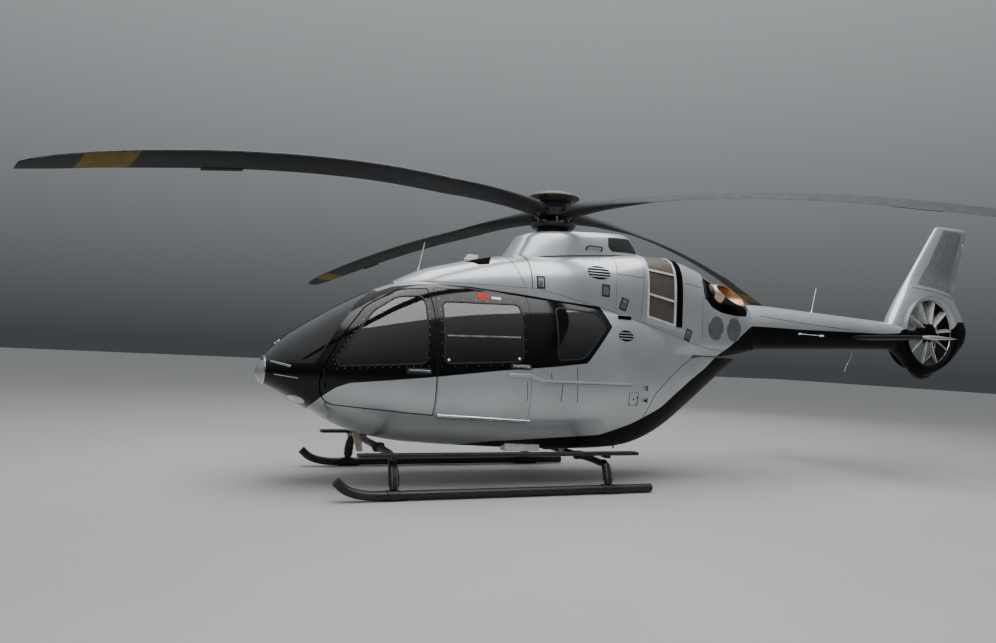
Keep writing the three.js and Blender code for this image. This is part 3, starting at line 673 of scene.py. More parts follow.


# Woven wire screen: round wires at a 9 mm pitch, the gaps between them near black as painted shade of the
# duct behind
def wire_screen():
    material, tree, surface, place = new_material("wire_screen")
    wires = []
    for way in ("X", "Z"):
        wave = add_node(tree, "TexWave", {"Vector": place, "Scale": 35}, 1, bands_direction=way)
        wires.append(add_node(tree, "MapRange", [wave, 0.45, 0.8, 0, 1]))
    weave = add_node(tree, "Math", wires, operation="MAXIMUM")
    dirt = add_node(tree, "TexNoise", {"Vector": place, "Scale": 14, "Detail": 5})
    wire = add_node(tree, "Mix", {0: dirt, 6: "#5b5550", 7: "#7d746c"}, 2, data_type="RGBA")
    feed(surface, {
        # Between the wires: painted shade of the duct behind the screen
        "Base Color": add_node(tree, "Mix", {0: weave, 6: "#15120f", 7: wire}, 2, data_type="RGBA"),
        "Metallic": add_node(tree, "MapRange", [weave, 0, 1, 0.1, 0.6]),
        "Roughness": add_node(tree, "MapRange", [dirt, 0.3, 0.7, 0.4, 0.62]),
        "Normal": add_node(tree, "Bump", {"Height": weave, "Strength": 1.0, "Distance": 0.0016}),
    })
    return material


# Nickel alloy jet pipe: straw and bronze heat colours in bands, with patches of soot
def heat_tint():
    material, tree, surface, place = new_material("heat_tint")
    cloud = add_node(tree, "TexNoise", {"Vector": place, "Scale": 9, "Detail": 5})
    wave = add_node(tree, "TexWave", {"Vector": place, "Scale": 1.4, "Distortion": 3, "Detail": 2}, 1)
    bands = add_node(tree, "Mix", {0: wave, 6: "#8d6542", 7: "#c09468"}, 2, data_type="RGBA")
    soot = add_node(tree, "MapRange", [cloud, 0.45, 0.75, 0, 0.6])
    scale = add_node(tree, "TexNoise", {"Vector": place, "Scale": 180, "Detail": 3})
    feed(surface, {
        "Base Color": add_node(tree, "Mix", {0: soot, 6: bands, 7: "#553c29"}, 2, data_type="RGBA"),
        "Metallic": 0.6,
        "Roughness": add_node(tree, "MapRange", [cloud, 0.3, 0.7, 0.22, 0.42]),
        "Normal": add_node(tree, "Bump", {"Height": scale, "Strength": 1.0, "Distance": 0.0003}),
    })
    return material


# A finish with mottled colour, uneven gloss and a fine relief, with sizes in millimetres
def mottled(name, low, high, grain, metal, gloss, relief, coat=0.0, shine=0.5):
    material, tree, surface, place = new_material(name)
    soft = add_node(tree, "TexNoise", {"Vector": place, "Scale": 1000 / (grain * 12), "Detail": 5})
    fine = add_node(tree, "TexNoise", {"Vector": place, "Scale": 1000 / grain, "Detail": 4})
    patch = add_node(tree, "MapRange", [soft, 0.35, 0.65, 0, 1])
    feed(surface, {
        "Base Color": add_node(tree, "Mix", {0: patch, 6: low, 7: high}, 2, data_type="RGBA"),
        "Roughness": add_node(tree, "MapRange", [soft, 0.3, 0.7, *gloss]),
        "Metallic": metal,
        "Coat Weight": coat,
        "Specular IOR Level": shine,
        "Normal": add_node(tree, "Bump", {"Height": fine, "Strength": 1.0, "Distance": relief / 1000}),
    })
    return material


body_paint = body_lacquer("body")
screen_wire = wire_screen()
hot_alloy = heat_tint()
# Felt-backed vinyl on the cabin's inner walls, dark grey and matt
trim_vinyl = mottled("trim_vinyl", "#2c2d30", "#3a3b3e", 2.5, 0.0, (0.6, 0.8), 0.3)
# Moulded ABS of the panel and consoles, matt black with a sand grain
panel_abs = mottled("panel_abs", "#0d0e0f", "#18191b", 1.5, 0.0, (0.5, 0.7), 0.25)
# Chrome-tanned cowhide, near black, creased and a little shiny where it is sat on
cowhide = mottled("cowhide", "#101012", "#1e1e21", 3.5, 0.0, (0.32, 0.55), 0.5, 0.15)
# Cut-pile wool carpet on the cabin floor, charcoal, deep and rough
carpet = mottled("carpet", "#1f2022", "#313235", 2.2, 0.0, (0.85, 0.95), 2.0)
# Cover glass of the displays, switched off
display_glass = mottled("display_glass", "#050608", "#0a0b0e", 9, 0.0, (0.04, 0.12), 0.02, 1.0)
# Blank tags and covers: enamelled aluminium, red and off-white
red_enamel = mottled("red_enamel", "#8f1c16", "#b52a20", 5, 0.0, (0.5, 0.65), 0.15, 0.0, 0.25)
white_enamel = mottled("white_enamel", "#dadad6", "#ececea", 5, 0.0, (0.25, 0.4), 0.15, 0.4)
# Pressed borosilicate lamp glass over a cream reflector
lamp_glass = mottled("lamp_glass", "#b9ae94", "#e4dcc4", 6, 0.2, (0.05, 0.16), 0.4, 1.0)
silver_paint = body_lacquer("silver")
black_paint = body_lacquer("black")
glass = smoked_acrylic_painted_shade()
# Epoxy enamel on the landing gear: near black, dulled by grass and dust
gear_enamel = mottled("gear_enamel", "#0c0d0e", "#1b1c1e", 6, 0.0, (0.28, 0.5), 0.3)
# Glass-fibre blade skin painted dark grey, a dull sheen with rain streaks
# with a broad yellow warning band near the tip
blade_skin = mottled("blade_skin", "#1b1c1f", "#292a2d", 8, 0.0, (0.55, 0.75), 0.2, 0.0, 0.3)
tip_band(blade_skin, "#6d5a1c", 4.5, 4.85)
# Polished nickel-alloy clamp round each jet pipe, tinted pink and straw by heat
band_alloy = mottled("band_alloy", "#b79c88", "#dcc6b2", 6, 0.55, (0.25, 0.4), 0.1)
# Outside of the jet pipes: black with a brown bloom
pipe_outside_dark = mottled("pipe_outside_dark", "#121012", "#2a2426", 12, 0.2, (0.4, 0.65), 0.3)
# Titanium and alloy steel, machined and dulled by oil mist
machined_metal = mottled("machined_metal", "#77797b", "#a0a2a4", 5, 0.9, (0.3, 0.5), 0.15)
# Moulded EPDM seal rubber, matt with a bloom
seal_rubber = mottled("seal_rubber", "#0a0a0a", "#17171a", 4, 0.0, (0.55, 0.75), 0.3)
# Sun-bleached composite cap, brown-grey with oily dust
cap_paint = mottled("cap_paint", "#3a342d", "#575047", 7, 0.1, (0.4, 0.62), 0.3)
# Cast and machined light alloy of the tail fan, dulled by exhaust film
fan_alloy = mottled("fan_alloy", "#a3a5a7", "#c4c5c6", 4, 0.35, (0.35, 0.5), 0.12)
# Anti-slip tape: coarse mineral grit in black resin
grip_tape = mottled("grip_tape", "#08090a", "#1d1e20", 1.6, 0.0, (0.7, 0.9), 1.2)
# Sun-faded grey enamel on the round covers at the root of the boom
cover_grey = mottled("cover_grey", "#4d5155", "#5c6064", 6, 0.2, (0.35, 0.5), 0.2, 0.3)
# Cream gelcoat on the sloping belly aerial
cream_paint = mottled("cream_paint", "#a59c84", "#c2b99f", 5, 0.0, (0.35, 0.5), 0.2, 0.3)
# Nickel strip along the blades' leading edges, sand-blasted dull by the air
dull_nickel = mottled("dull_nickel", "#4c4d4f", "#6a6b6d", 4, 0.9, (0.38, 0.55), 0.15)
# Darker grey lacquer on the fin's side panels and black wire cloth in the fairing
panel_grey = mottled("panel_grey", "#74767c", "#85878d", 6, 0.5, (0.16, 0.26), 0.1, 0.6)
dark_mesh = mottled("dark_mesh", "#0b0b0c", "#1c1c1d", 3, 0.3, (0.5, 0.75), 1.4)
# Matt black sheet for vents and slots: painted shade that stands for the dark opening
opening_shade_black = mottled("opening_shade_black", "#020202", "#070707", 5, 0.0, (0.9, 1.0), 0.1, 0.0, 0.05)
# Pale stoved enamel on the intake frames
frame_enamel = mottled("frame_enamel", "#b4b6b8", "#cfd1d3", 6, 0.1, (0.35, 0.5), 0.08)
# Anodised aluminium trim, drawn and polished
bright_trim = mottled("bright_trim", "#c2c4c6", "#dcdee0", 4, 1.0, (0.16, 0.3), 0.05)


# Body surfaces
def pod_ring(s, inset, sides):
    less = inset * (1 - 0.35 * math.exp(-s["x"] / 200))
    ring = []
    for turn in ring_angles(sides):
        up = math.sin(turn) > 0
        n = s["above"] if up else s["below"]
        tall = (s["roof"] - s["widest"] if up else s["widest"] - s["belly"]) - less
        y = (s["half"] - less) * power(math.cos(turn), 2 / n)
        z = s["widest"] + tall * power(math.sin(turn), 2 / n)
        ring.append((s["x"] + inset * math.exp(-s["x"] / 350), y, z))
    return ring


def pod(inset, fine=True):
    step = 8 if fine else 3
    places = [0.12, 0.2, 0.3] + [i / step for i in range(round(0.4 * step), 16 * step + 1)]
    kept = [s for s in (between(POD, p) for p in sorted(places)) if s["half"] > inset + 8]
    return loft([pod_ring(s, inset, 112 if fine else 56) for s in kept])


# Half the pod's width below its widest line
def pod_half(x, z):
    low, high = 0, len(POD) - 1
    for i in range(24):
        place = (low + high) / 2
        if between(POD, place)["x"] < x:
            low = place
        else:
            high = place
    s = between(POD, low)
    share = min(1, (s["widest"] - z) / (s["widest"] - s["belly"]))
    return s["half"] * (1 - max(0, share) ** s["below"]) ** (1 / s["below"])


# Arched over the engines; below its middle it is upright, then draws in to meet the pod
def cowl_ring(s, inset, sides):
    gap = max(0, s["half"] - pod_half(s["x"], COWL_FOOT) - 1)
    half = s["half"] - inset
    ring = []
    for i in range(sides + 1):
        turn = i / sides * math.pi
        z = s["mid"] + (s["top"] - s["mid"] - inset) * abs(math.sin(turn)) ** (2 / s["above"])
        ring.append((s["x"], half * power(math.cos(turn), 2 / s["above"]), z))
    skirt = [(half - gap * share, z) for z, share in COWL_TUCK]
    ring += [(s["x"], -y, z) for y, z in skirt]
    return ring + [(s["x"], y, z) for y, z in reversed(skirt)]


def cowl(inset, fine=True):
    step = 8 if fine else 3
    places = [i / step for i in range(12 * step + 1)]
    return loft([cowl_ring(between(COWL, p), inset, 8 * step if fine else 32) for p in places])


def boom(extra):
    rings = []
    for place in range(4 * 9 + 1):
        s = between(BOOM, place / 4)
        mid = (s["low"] + s["high"]) / 2
        ring = soft_oval(0, mid, s["half"] + extra, mid - s["low"] + extra, 0.87, 64)
        rings.append([(s["x"], y, z) for y, z in ring])
    return loft(rings)


def fin_body(extra):
    rings = []
    for place in range(6 * 15 + 1):
        s = between(FIN, place / 6)
        mid = (s["front"] + s["rear"]) / 2
        ring = soft_oval(mid, 0, s["rear"] - mid + extra, s["half"] + extra, 2 / s["blunt"], 72)
        rings.append([(min(x, FIN_REACH), y, s["z"]) for x, y in ring])
    return loft(rings)


def fairing(inset):
    rings = []
    for place in range(8 * 4 + 1):
        s = between(FAIRING, place / 8)
        half = (s["rear"] - s["front"]) / 2
        slope = (s["high"] - s["low"]) / (2 * half)
        low = s["low"] - (inset if place == 32 else 0)
        ring = soft_oval(s["front"] + half, 0, half - inset, s["half"] - inset, 0.75, 72)
        rings.append([(x, y, low + (x - s["front"]) * slope) for x, y in ring])
    return loft(rings)


# All that lies under a line seen from the side
def under(line):
    solid = prism(line + [[6000, -100], [1000, -100]], -REACH, REACH)
    return carve(solid, box(-500, 1000.5, -REACH, REACH, -100, 3000), "UNION")


outer = carve(pod(0), cowl(0), "UNION")
below_seam = under(SEAM)
above_seam = prism([[x, z + SEAL] for x, z in SEAM] + [[6000, 3000], [1000, 3000]], -REACH, REACH)


# A surface to place things on, in the same millimetres
def skin_of(piece, keep=False):
    points = [v.co * 1000 + Vector((CENTRE, 0, 0)) for v in piece.data.vertices]
    skin = BVHTree.FromPolygons(points, [tuple(f.vertices) for f in piece.data.polygons])
    if not keep:
        bpy.data.objects.remove(piece)
    return skin


# Lays flat places on a skin from port, from above or from below; a miss takes the nearest place
def caster(skin, view="side"):
    def cast(a, b):
        spots = {"side": (a, -2500, b), "roof": (a, b, 5000), "belly": (a, b, -500)}
        start = Vector(spots[view])
        way = Vector({"side": (0, 1, 0), "roof": (0, 0, -1), "belly": (0, 0, 1)}[view])
        spot, normal = skin.ray_cast(start, way)[:2]
        if spot is None:
            spot, normal = skin.find_nearest(start + way * 2000)[:2]
        return spot, normal

    return cast


body_skin = skin_of(outer, keep=True)
pod_skin = skin_of(pod(0))
on_side = caster(body_skin)
on_roof = caster(body_skin, "roof")
on_belly = caster(body_skin, "belly")


# Places and normals along a line drawn flat and cast on a surface
def route_on(cast, line, closed=False, radius=0, step=30):
    corners = rounded(line, radius)
    spots = dotted(corners + corners[:1], step) if closed else dotted(corners, step) + corners[-1:]
    return [cast(*p) for p in spots]


# A thin sheet that follows the surface inside an outline, with a chamfered edge sunk into it
def draped(cast, outline, out, radius=0):
    corners = rounded(outline, radius)
    edge = dotted(corners + corners[:1], 25)
    middle = sum(edge, Vector((0, 0))) / len(edge)
    steps = max(3, math.ceil(max((p - middle).length for p in edge) / 30))
    shares = [(0.02, out)] + [(i / steps, out) for i in range(1, steps)]
    rings = []
    for share, height in shares + [(0.98, out), (0.995, out * 0.6), (1, -3)]:
        casts = [cast(*middle.lerp(p, share)) for p in edge]
        rings.append([tuple(spot + normal * height) for spot, normal in casts])
    return loft(rings)


# A strip with rounded shoulders laid along a route, standing out of the skin and sunk into it
def ribbon(route, width, out, sunk=3, closed=False):
    rings = []
    for i, (spot, normal) in enumerate(route):
        before = route[i - 1][0] if i > 0 or closed else spot
        after = route[(i + 1) % len(route)][0] if i + 1 < len(route) or closed else spot
        side = (after - before).normalized().cross(normal).normalized() * width / 2
        shape = ((-1, -sunk), (-1, out * 0.55), (-0.6, out), (0.6, out), (1, out * 0.55), (1, -sunk))
        rings.append([tuple(spot + side * a + normal * b) for a, b in shape])
    return loft(rings + rings[:1] if closed else rings, not closed)


# A ribbon drawn flat: where it is cast, its line, width and height
def strip(cast, line, width, out, sunk=3, step=30):
    return ribbon(route_on(cast, line, step=step), width, out, sunk)


def hoop(cast, line, width, out, sunk=3, radius=0, step=30):
    return ribbon(route_on(cast, line, True, radius, step), width, out, sunk, True)


# A piece made flat at the origin, in metres, is stood on the skin with its own Z along the normal
def stand_on(piece, spot, normal):
    up = Vector((0, 0, 1)) if abs(normal.z) < 0.8 else Vector((-1, 0, 0))
    right = up.cross(normal).normalized()
    turn = Matrix((right, normal.cross(right), normal)).transposed().to_4x4()
    piece.data.transform(Matrix.Translation(at(*spot)) @ turn)
    return piece


# Panel joints: narrow slots cut along lines on both sides
def grooves(piece, lines):
    for line in lines:
        cut_both(piece, strip(on_side, line, 9, 4, 8))
    return piece


# Faces that look away from the painted skin are the cabin's trim
def trimmed_inside(piece, skin):
    piece.data.materials.append(trim_vinyl)
    for face in piece.data.polygons:
        painted = skin.find_nearest(face.center * 1000 + Vector((CENTRE, 0, 0)))[1]
        face.material_index = int(painted.dot(face.normal) < 0.3)


# Ahead of the crew door's rear edge, which leans inwards
def crew_bevel(offset):
    edge = CREW_DOOR_REAR + offset
    corners = [(-500, -800), (edge, -800), (edge - CREW_BEVEL * 800, 0), (-500, 0)]
    return loft([[(x, y, z) for x, y in corners] for z in (0, 3000)])


def fuselage():
    shell = shared(outer, below_seam, True)
    carve(shell, carve(pod(WALL, False), under([[x, z - 55] for x, z in SEAM]), "INTERSECT"))
    hole = carve(prism(grown(CREW_DOOR, DOOR_GAP), -REACH, -50, 60), crew_bevel(DOOR_GAP), "INTERSECT")
    cut_both(shell, hole)
    cut_both(shell, prism(grown(SLIDE_DOOR, SEAL), -REACH, -50, 45))
    cut_both(shell, prism(REAR_WINDOW, -REACH, -100, 60))
    cut_both(shell, prism(WINDSCREEN, -REACH, -22, 60))
    carve(shell, prism(CLAM_FRONT, -REACH, REACH))
    carve(shell, box(4720, 7000, -REACH, REACH, -100, 3000))
    grooves(shell, BODY_JOINTS)
    finished("fuselage", shell, "silver_paint", body_paint, "airframe", "cabin_shell", "belly_skin")
    trimmed_inside(shell, body_skin)


def doors():
    wall = carve(pod(0), pod(WALL, False))
    door = shared(wall, prism(CREW_DOOR, -REACH, -60, 60))
    carve(door, crew_bevel(0), "INTERSECT")
    carve(door, prism(CREW_WINDOW, -REACH, -100, 50))
    paired("crew_door", door, "silver_paint", body_paint, "crew_leaf", "crew_door")
    slide = shared(wall, prism(SLIDE_DOOR, -REACH, -60, 45))
    carve(slide, prism(SLIDE_WINDOW, -REACH, -100, 70))
    grooves(slide, [[[2536, 1089], [2550, 899]]])
    paired("sliding_door", slide, "silver_paint", body_paint, "airframe", "sliding_door")
    leaf = carve(wall, prism(grown(CLAM_FRONT, -CLAM_GAP), -REACH, -CLAM_GAP / 2), "INTERSECT")
    carve(leaf, box(-500, CLAM_END, -REACH, REACH, -100, 3000), "INTERSECT")
    paired("clamshell", leaf, "silver_paint", body_paint, "clamshell_leaf", "clamshell_door")


def windows():
    pane = carve(pod(3), pod(14))
    for stem, outline, inner, radius, body, node in (
        ("windscreen", WINDSCREEN, -23, 60, "airframe", "windscreen"),
        ("crew_window", CREW_WINDOW, -100, 50, "crew_leaf", "crew_door_window"),
        ("slide_window", SLIDE_WINDOW, -100, 70, "airframe", "sliding_door_window"),
        ("rear_pane", REAR_WINDOW, -100, 60, "airframe", "rear_window"),
    ):
        made = shared(pane, prism(grown(outline, -1), -REACH, inner, radius))
        paired(stem, made, "tinted_glass", glass, body, node)
    bpy.data.objects.remove(pane)


# One jet pipe's duct, flared towards its mouth, grown all round by a few millimetres
def pipe_tube(extra, first=0):
    path = curved(EXHAUST_PATH, 6)[first:]
    return tube(path, [PIPE_RADIUS + extra + PIPE_FLARE * max(0, (p[0] - 5050) / 500) for p in path], 56)


# The rounded lip of the fan's duct, from its bore out to the side of the shroud
def lip_curve(count, out):
    turns = [i / count * math.pi / 2 for i in range(count + 1)]
    return [
        (FAN_DUCT - out + FAN_LIP * (1 - math.cos(t)), FAN_FACE - 70 - out + 72 * math.sin(t)) for t in turns
    ]


def tail():
    root = shared(outer, below_seam, True)
    carve(root, box(4720.3, 5850, -REACH, REACH, 1445 + CLAM_GAP, 3000), "INTERSECT")
    carve(root, prism([[5250, 1300], [5900, 1300], [5900, 1552], [5250, 1450]], -REACH, REACH))
    carve(root, boom(0), "UNION")
    carve(root, fin_body(0.5))
    root.data.validate()
    finished("boom_skin", root, "silver_paint", body_paint, "airframe", "tail_boom")
    shroud = carve(fin_body(0), turned_fan([(FAN_DUCT, -450), (FAN_DUCT, 450)]))
    mouth = [(20, FAN_FACE - 70)] + lip_curve(8, 0) + [(FAN_DUCT + FAN_LIP, 300), (20, 300)]
    cut_both(shroud, turned_fan(mouth))
    finished("shroud_skin", shroud, "silver_paint", body_paint, "airframe", "fin_shroud")
    shroud.data.materials.append(black_paint)
    axis = at(FAN_X, 0, FAN_Z)
    for face in shroud.data.polygons:
        arm = face.center - axis
        face.material_index = int(math.hypot(arm.x, arm.z) * 1000 < FAN_DUCT + 2)


def cowlings():
    front = shared(outer, above_seam, True)
    carve(front, box(0, COWL_SPLIT - SPLIT_GAP, -REACH, REACH, 0, 3000), "INTERSECT")
    carve(front, carve(cowl(30, False), box(1750, COWL_SPLIT, -REACH, REACH, 0, 3000), "INTERSECT"))
    grooves(front, FRONT_JOINTS)
    finished("front_cowl_skin", front, "silver_paint", body_paint, "airframe", "front_cowling")
    rear = shared(outer, above_seam, True)
    carve(rear, cowl(30, False))
    carve(rear, boom(1))
    carve(rear, box(COWL_SPLIT, 5800, -REACH, REACH, 0, 3000), "INTERSECT")
    cut_both(rear, prism(INTAKE, -REACH, -350, 15))
    cut_both(rear, prism(EXHAUST_HOLE, -REACH, -180, 60))
    carve(rear, turned_mast([(300, 2000), (300, 3000)]))
    cut_both(rear, pipe_tube(9))
    grooves(rear, COWL_JOINTS)
    finished("engine_cowl_skin", rear, "silver_paint", body_paint, "airframe", "engine_cowling")
    mast = carve(fairing(0), fairing(25))
    carve(mast, cowl(-1))
    carve(mast, turned_mast([(215, 2000), (215, 3000)]))
    finished("mast_fairing_skin", mast, "silver_paint", silver_paint, "airframe", "mast_fairing")


fuselage()
doors()
windows()
tail()
cowlings()
for spare in (outer, below_seam, above_seam):
    bpy.data.objects.remove(spare)


# Rotor blades and head
def droop(r, blade):
    m = r / 1000
    return BLADE_Z + blade["rise"] * m - blade["sag"] * m * m


# The place so far out along a blade's line and so far across it
def abreast(blade, out, across):
    return placed([(out, across)], MAST, 0, blade["angle"])[0]


# Half the thickness of a blade's section: an oval at the root, an aerofoil further out
def blade_half(s, f):
    wing = 1.485 * math.sqrt(f) - 0.63 * f - 1.758 * f * f + 1.4215 * f**3 - 0.5075 * f**4
    round_part = math.sqrt(max(0, 4 * f * (1 - f))) / 2
    return max(s["thick"] * ((1 - s["round"]) * max(wing, 0) + s["round"] * round_part), 0.8)


def blade_ring(s, blade):
    count = 18
    fractions = [(1 - math.cos(i / count * math.pi)) / 2 for i in range(count + 1)]
    section = [(s["lead"] - f * s["chord"], blade_half(s, f)) for f in fractions]
    section += [(chord, -half) for chord, half in reversed(section)]
    z = droop(s["span"], blade)
    turned = placed(section, 0, z, s["pitch"] + blade["feather"])
    return [(*abreast(blade, s["span"], chord), level) for chord, level in turned]


def erosion_strip(blade):
    rings = []
    for place in range(5 * 4, 12 * 4 - 2):
        section = [Vector(p) for p in blade_ring(between(SPAN, place / 4), blade)]
        nose = section[-3:] + section[:3]
        middle = (section[8] + section[-9]) / 2
        ways = [(p, (p - middle).normalized()) for p in nose]
        front = [tuple(p + way * 1.2) for p, way in ways]
        rings.append(front + [tuple(p - way * 3) for p, way in reversed(ways)])
    return loft(rings)


# Two bolts with washers and nuts hold each blade's root in the fork of the hub
def root_bolts(blade):
    profile = [(11, -92), (13, -84), (22, -83), (22, 80), (13, 81), (11, 90)]
    rows = [(radius, droop(300, blade) + lift) for radius, lift in profile]
    return [turned_at(abreast(blade, 300, chord), rows, 12) for chord in (34, -34)]


# Slim trim tab on the trailing edge
def trim_tab(blade):
    pitch = between(SPAN, 7.3)["pitch"] + blade["feather"]
    section = placed([(-206, 5), (-250, 2), (-250, -2), (-206, -5)], 0, 0, pitch)
    rings = []
    for span in (3620, 3960):
        z = droop(span, blade)
        rings.append([(*abreast(blade, span, chord), z + lift) for chord, lift in section])
    return loft(rings)


def blades():
    for i, blade in enumerate(BLADES):
        stem = f"blade_{i + 1}"
        made = loft([blade_ring(between(SPAN, p / 4), blade) for p in range(4 * 12 + 1)])
        finished(stem + "_skin", made, "blade_composite", blade_skin, "main_rotor", stem)
        finished(stem + "_edge", erosion_strip(blade), "blade_composite", dull_nickel, "main_rotor")
        finished(stem + "_bolts", root_bolts(blade), "bare_metal", dull_nickel, "main_rotor")
        finished(stem + "_tab", trim_tab(blade), "blade_composite", blade_skin, "main_rotor")


# Shaft, hub plate with its rim of bolts, and four forked arms
HUB = [
    (72, 2600), (72, 2905), (120, 2912), (160, 2925), (206, 2928), (215, 2938), (215, 3022), (206, 3032),
    (165, 3037), (152, 3050), (148, 3092), (140, CAP_Z - 0.5),
]


def rotor_head():
    parts = [turned_mast(HUB)]
    for blade in BLADES:
        z = droop(240, blade)
        for low, high in ((z - 44, z - 12), (z + 12, z + 44)):
            rings = []
            for span, wide in ((150, 96), (215, 88), (232, 78), (239, 60)):
                corners = ((-wide, low), (wide, low), (wide, high), (-wide, high))
                rings.append([(*abreast(blade, span, side), level) for side, level in corners])
            parts.append(loft(rings))
    for turn in ring_angles(16):
        spot = (MAST + 186 * math.cos(turn), 186 * math.sin(turn))
        parts.append(turned_at(spot, [(11, 3030), (11, 3040), (7, 3044)], 6))
    finished("rotor_hub_skin", parts, "dark_grey_paint", gear_enamel, "main_rotor", "rotor_hub")


# Shallow dome over the hub: a rolled rim, a raised crown and eight pressed ribs
CAP = [
    (20, 0.4), (150, 0.4), (262, 36), (282, 44), (288, 53), (286, 60), (276, 68), (262, 80), (232, 92),
    (200, 101), (150, 111), (110, 117), (60, 121), (20, 122),
]
CAP_CROWN = [(64, CAP_Z + 116), (64, CAP_Z + 122), (52, CAP_Z + 125.5), (14, CAP_Z + 126)]


def head_cap():
    rings = []
    for level, (radius, z) in enumerate(CAP):
        rib = 5 if 8 <= level <= 11 else 0
        ring = []
        for i, (x, y) in enumerate(circle(MAST, 0, radius, 128)):
            ring.append((x, y, CAP_Z + z + rib * max(0, math.cos(i / 128 * math.tau * 8)) ** 6))
        rings.append(ring)
    finished("hub_cap_skin", loft(rings), "dark_grey_paint", cap_paint, "main_rotor", "hub_cap", angle=40)
    finished("hub_cap_crown", turned_mast(CAP_CROWN, 48), "bare_metal", machined_metal, "main_rotor")


# Swashplate rings, pitch links with rod ends, and the scissor arms that turn with the mast
SWASHPLATE = [
    (76, 2800), (225, 2800), (236, 2806), (240, 2818), (252, 2824), (258, 2832), (258, 2842), (250, 2850),
    (130, 2850), (110, 2866), (84, 2870), (76, 2870),
]
PITCH_LINK = [
    (9, 2836), (17, 2842), (17, 2858), (9, 2864), (11, 2868), (11, 2900), (17, 2904), (17, 2921), (9, 2924),
]


def swashplate():
    parts = [carve(turned_mast(SWASHPLATE, 72), turned_mast([(73, 2700), (73, 2990)], 40))]
    links = []
    for blade in BLADES:
        links.append(turned_at(abreast(blade, 100, 140), PITCH_LINK, 16))
        arm = [(*abreast(blade, r, 60), z) for r, z in ((84, 2862), (150, 2880), (120, 2912))]
        parts.append(tube(arm, 12, 10))
    finished("swashplate_skin", parts, "bare_metal", gear_enamel, "main_rotor", "swashplate")
    finished("pitch_links", links, "bare_metal", bright_trim, "main_rotor")


blades()
rotor_head()
head_cap()
swashplate()


# Section of a fan blade or vane so many degrees round the axis, with its own twist
def vane_ring(radius, turn, chord, thick, twist, middle):
    ring = []
    for way in ring_angles(10):
        across = thick / 2 * power(math.sin(way), 0.8) * (1.15 - 0.3 * math.cos(way))
        [(sideways, y)] = placed([(chord / 2 * math.cos(way), across)], 0, middle, twist)
        [(x, z)] = placed([(radius, sideways)], FAN_X, FAN_Z, turn)
        ring.append((x, y, z))
    return ring


# Tail fan: ten twisted blades on a hub
def tail_fan():
    parts = [turned_fan([(70, 4), (146, 6), (150, 20), (138, 66), (112, 104), (90, 112), (30, 116)], 64)]
    for i in range(10):
        rings = []
        for t in [step / 8 for step in range(9)]:
            radius = 118 + (FAN_TIP - 120) * t
            rings.append(vane_ring(radius, -36 * i, 78 + 22 * t, 15 - 7 * t, 40 - 24 * t, 60))
        parts.append(loft(rings))
    finished("tail_fan_skin", parts, "fan_metal", fan_alloy, "fan_rotor", "tail_fan")


# Behind the fan: fixed vanes, the drive's fairing, and the duct's lips and beads
def stator():
    hub = turned_fan([(40, -150), (92, -146), (122, -132), (140, -104), (146, -60), (140, -8), (60, -2)], 64)
    parts = []
    for i in range(10):
        rings = []
        for t in [step / 6 for step in range(7)]:
            radius = 120 + (FAN_DUCT - 119.5) * t
            rings.append(vane_ring(radius, 90 - 36 * (i + 0.3), 96, 18, 74 - 16 * t, -80))
        parts.append(loft(rings))
    finished("stator_vanes", parts, "fan_metal", fan_alloy, "airframe", "tail_fan_stator")
    finished("stator_hub", hub, "black_paint", black_paint)
    rings = []
    for x, half in ((-460, 38), (-300, 44), (0, 48), (120, 44), (150, 26)):
        rings.append([(FAN_X + x, y, z) for y, z in soft_oval(-92, FAN_Z - 30, 44, half, 0.6, 20)])
    finished("shaft_fairing", loft(rings), "black_paint", black_paint)
    for side, word in SIDES:
        rim = lip_curve(10, 1) + [(FAN_DUCT + FAN_LIP - 2, FAN_FACE - 6), (FAN_DUCT + 3, FAN_FACE - 80)]
        lip = turned_fan([(radius, side * y) for radius, y in rim + rim[:1]], 96, False)
        finished("duct_lip_" + word, lip, "silver_paint", body_paint)
        bead = circle(FAN_DUCT + 4, FAN_FACE - 66, 7, 8)
        ring = turned_fan([(radius, side * y) for radius, y in bead + bead[:1]], 96, False)
        finished("duct_bead_" + word, ring, "bare_metal", bright_trim)


# Stabiliser: one airfoil a side with a bright cap at the tip
def stabiliser_span(side, y0, y1):
    rings = []
    for y in [y0 + (y1 - y0) * step / 8 for step in range(9)]:
        out = max(0, (y - 1262) / 63)
        front = 7548 + 12 * y / 1262 + 46 * out * out
        rear = 8134 - 9 * y / 1262 - 22 * out * out
        thick = (54 - 12 * y / 1262) * math.sqrt(max(0.05, 1 - 0.8 * out * out))
        ring = []
        for turn in ring_angles(44):
            f = (1 - math.cos(turn)) / 2
            fat = 1.3 * math.sqrt(max(f * (1 - f), 0)) * (1.25 - 0.75 * f) + 0.02
            z = 1810 + thick * math.copysign(fat, math.sin(turn))
            ring.append((front + f * (rear - front), side * y, z))
        rings.append(ring)
    return loft(rings)


def stabiliser():
    for side, word in SIDES:
        node = "stabiliser_" + word
        span = stabiliser_span(side, 150, 1262)
        finished("stabiliser_skin_" + word, span, "black_paint", black_paint, "airframe", node)
        finished("stabiliser_tip_" + word, stabiliser_span(side, 1264, 1325), "black_paint", silver_paint)


def bumper():
    path = [[9000, 0, 1405], [9100, 0, 1340], [9215, 0, 1314], [9330, 0, 1332], [9420, 0, 1380]]
    made = tube(curved(path, 8), [24] + [28] * 31 + [24])
    finished("bumper_skin", made, "black_rubber", seal_rubber, "airframe", "tail_bumper")


tail_fan()
stator()
stabiliser()
bumper()

# Landing gear: the skid's side view, and the stations of the two bows with the belly's height there
SKID_PATH = [[640, 184], [715, 118], [800, 79], [920, 55], [1060, 48], [1500, 48], [3900, 48]]
BOWS = [["front_bow", "cross_tube_front", 1160, 395], ["rear_bow", "cross_tube_rear", 3385, 300]]


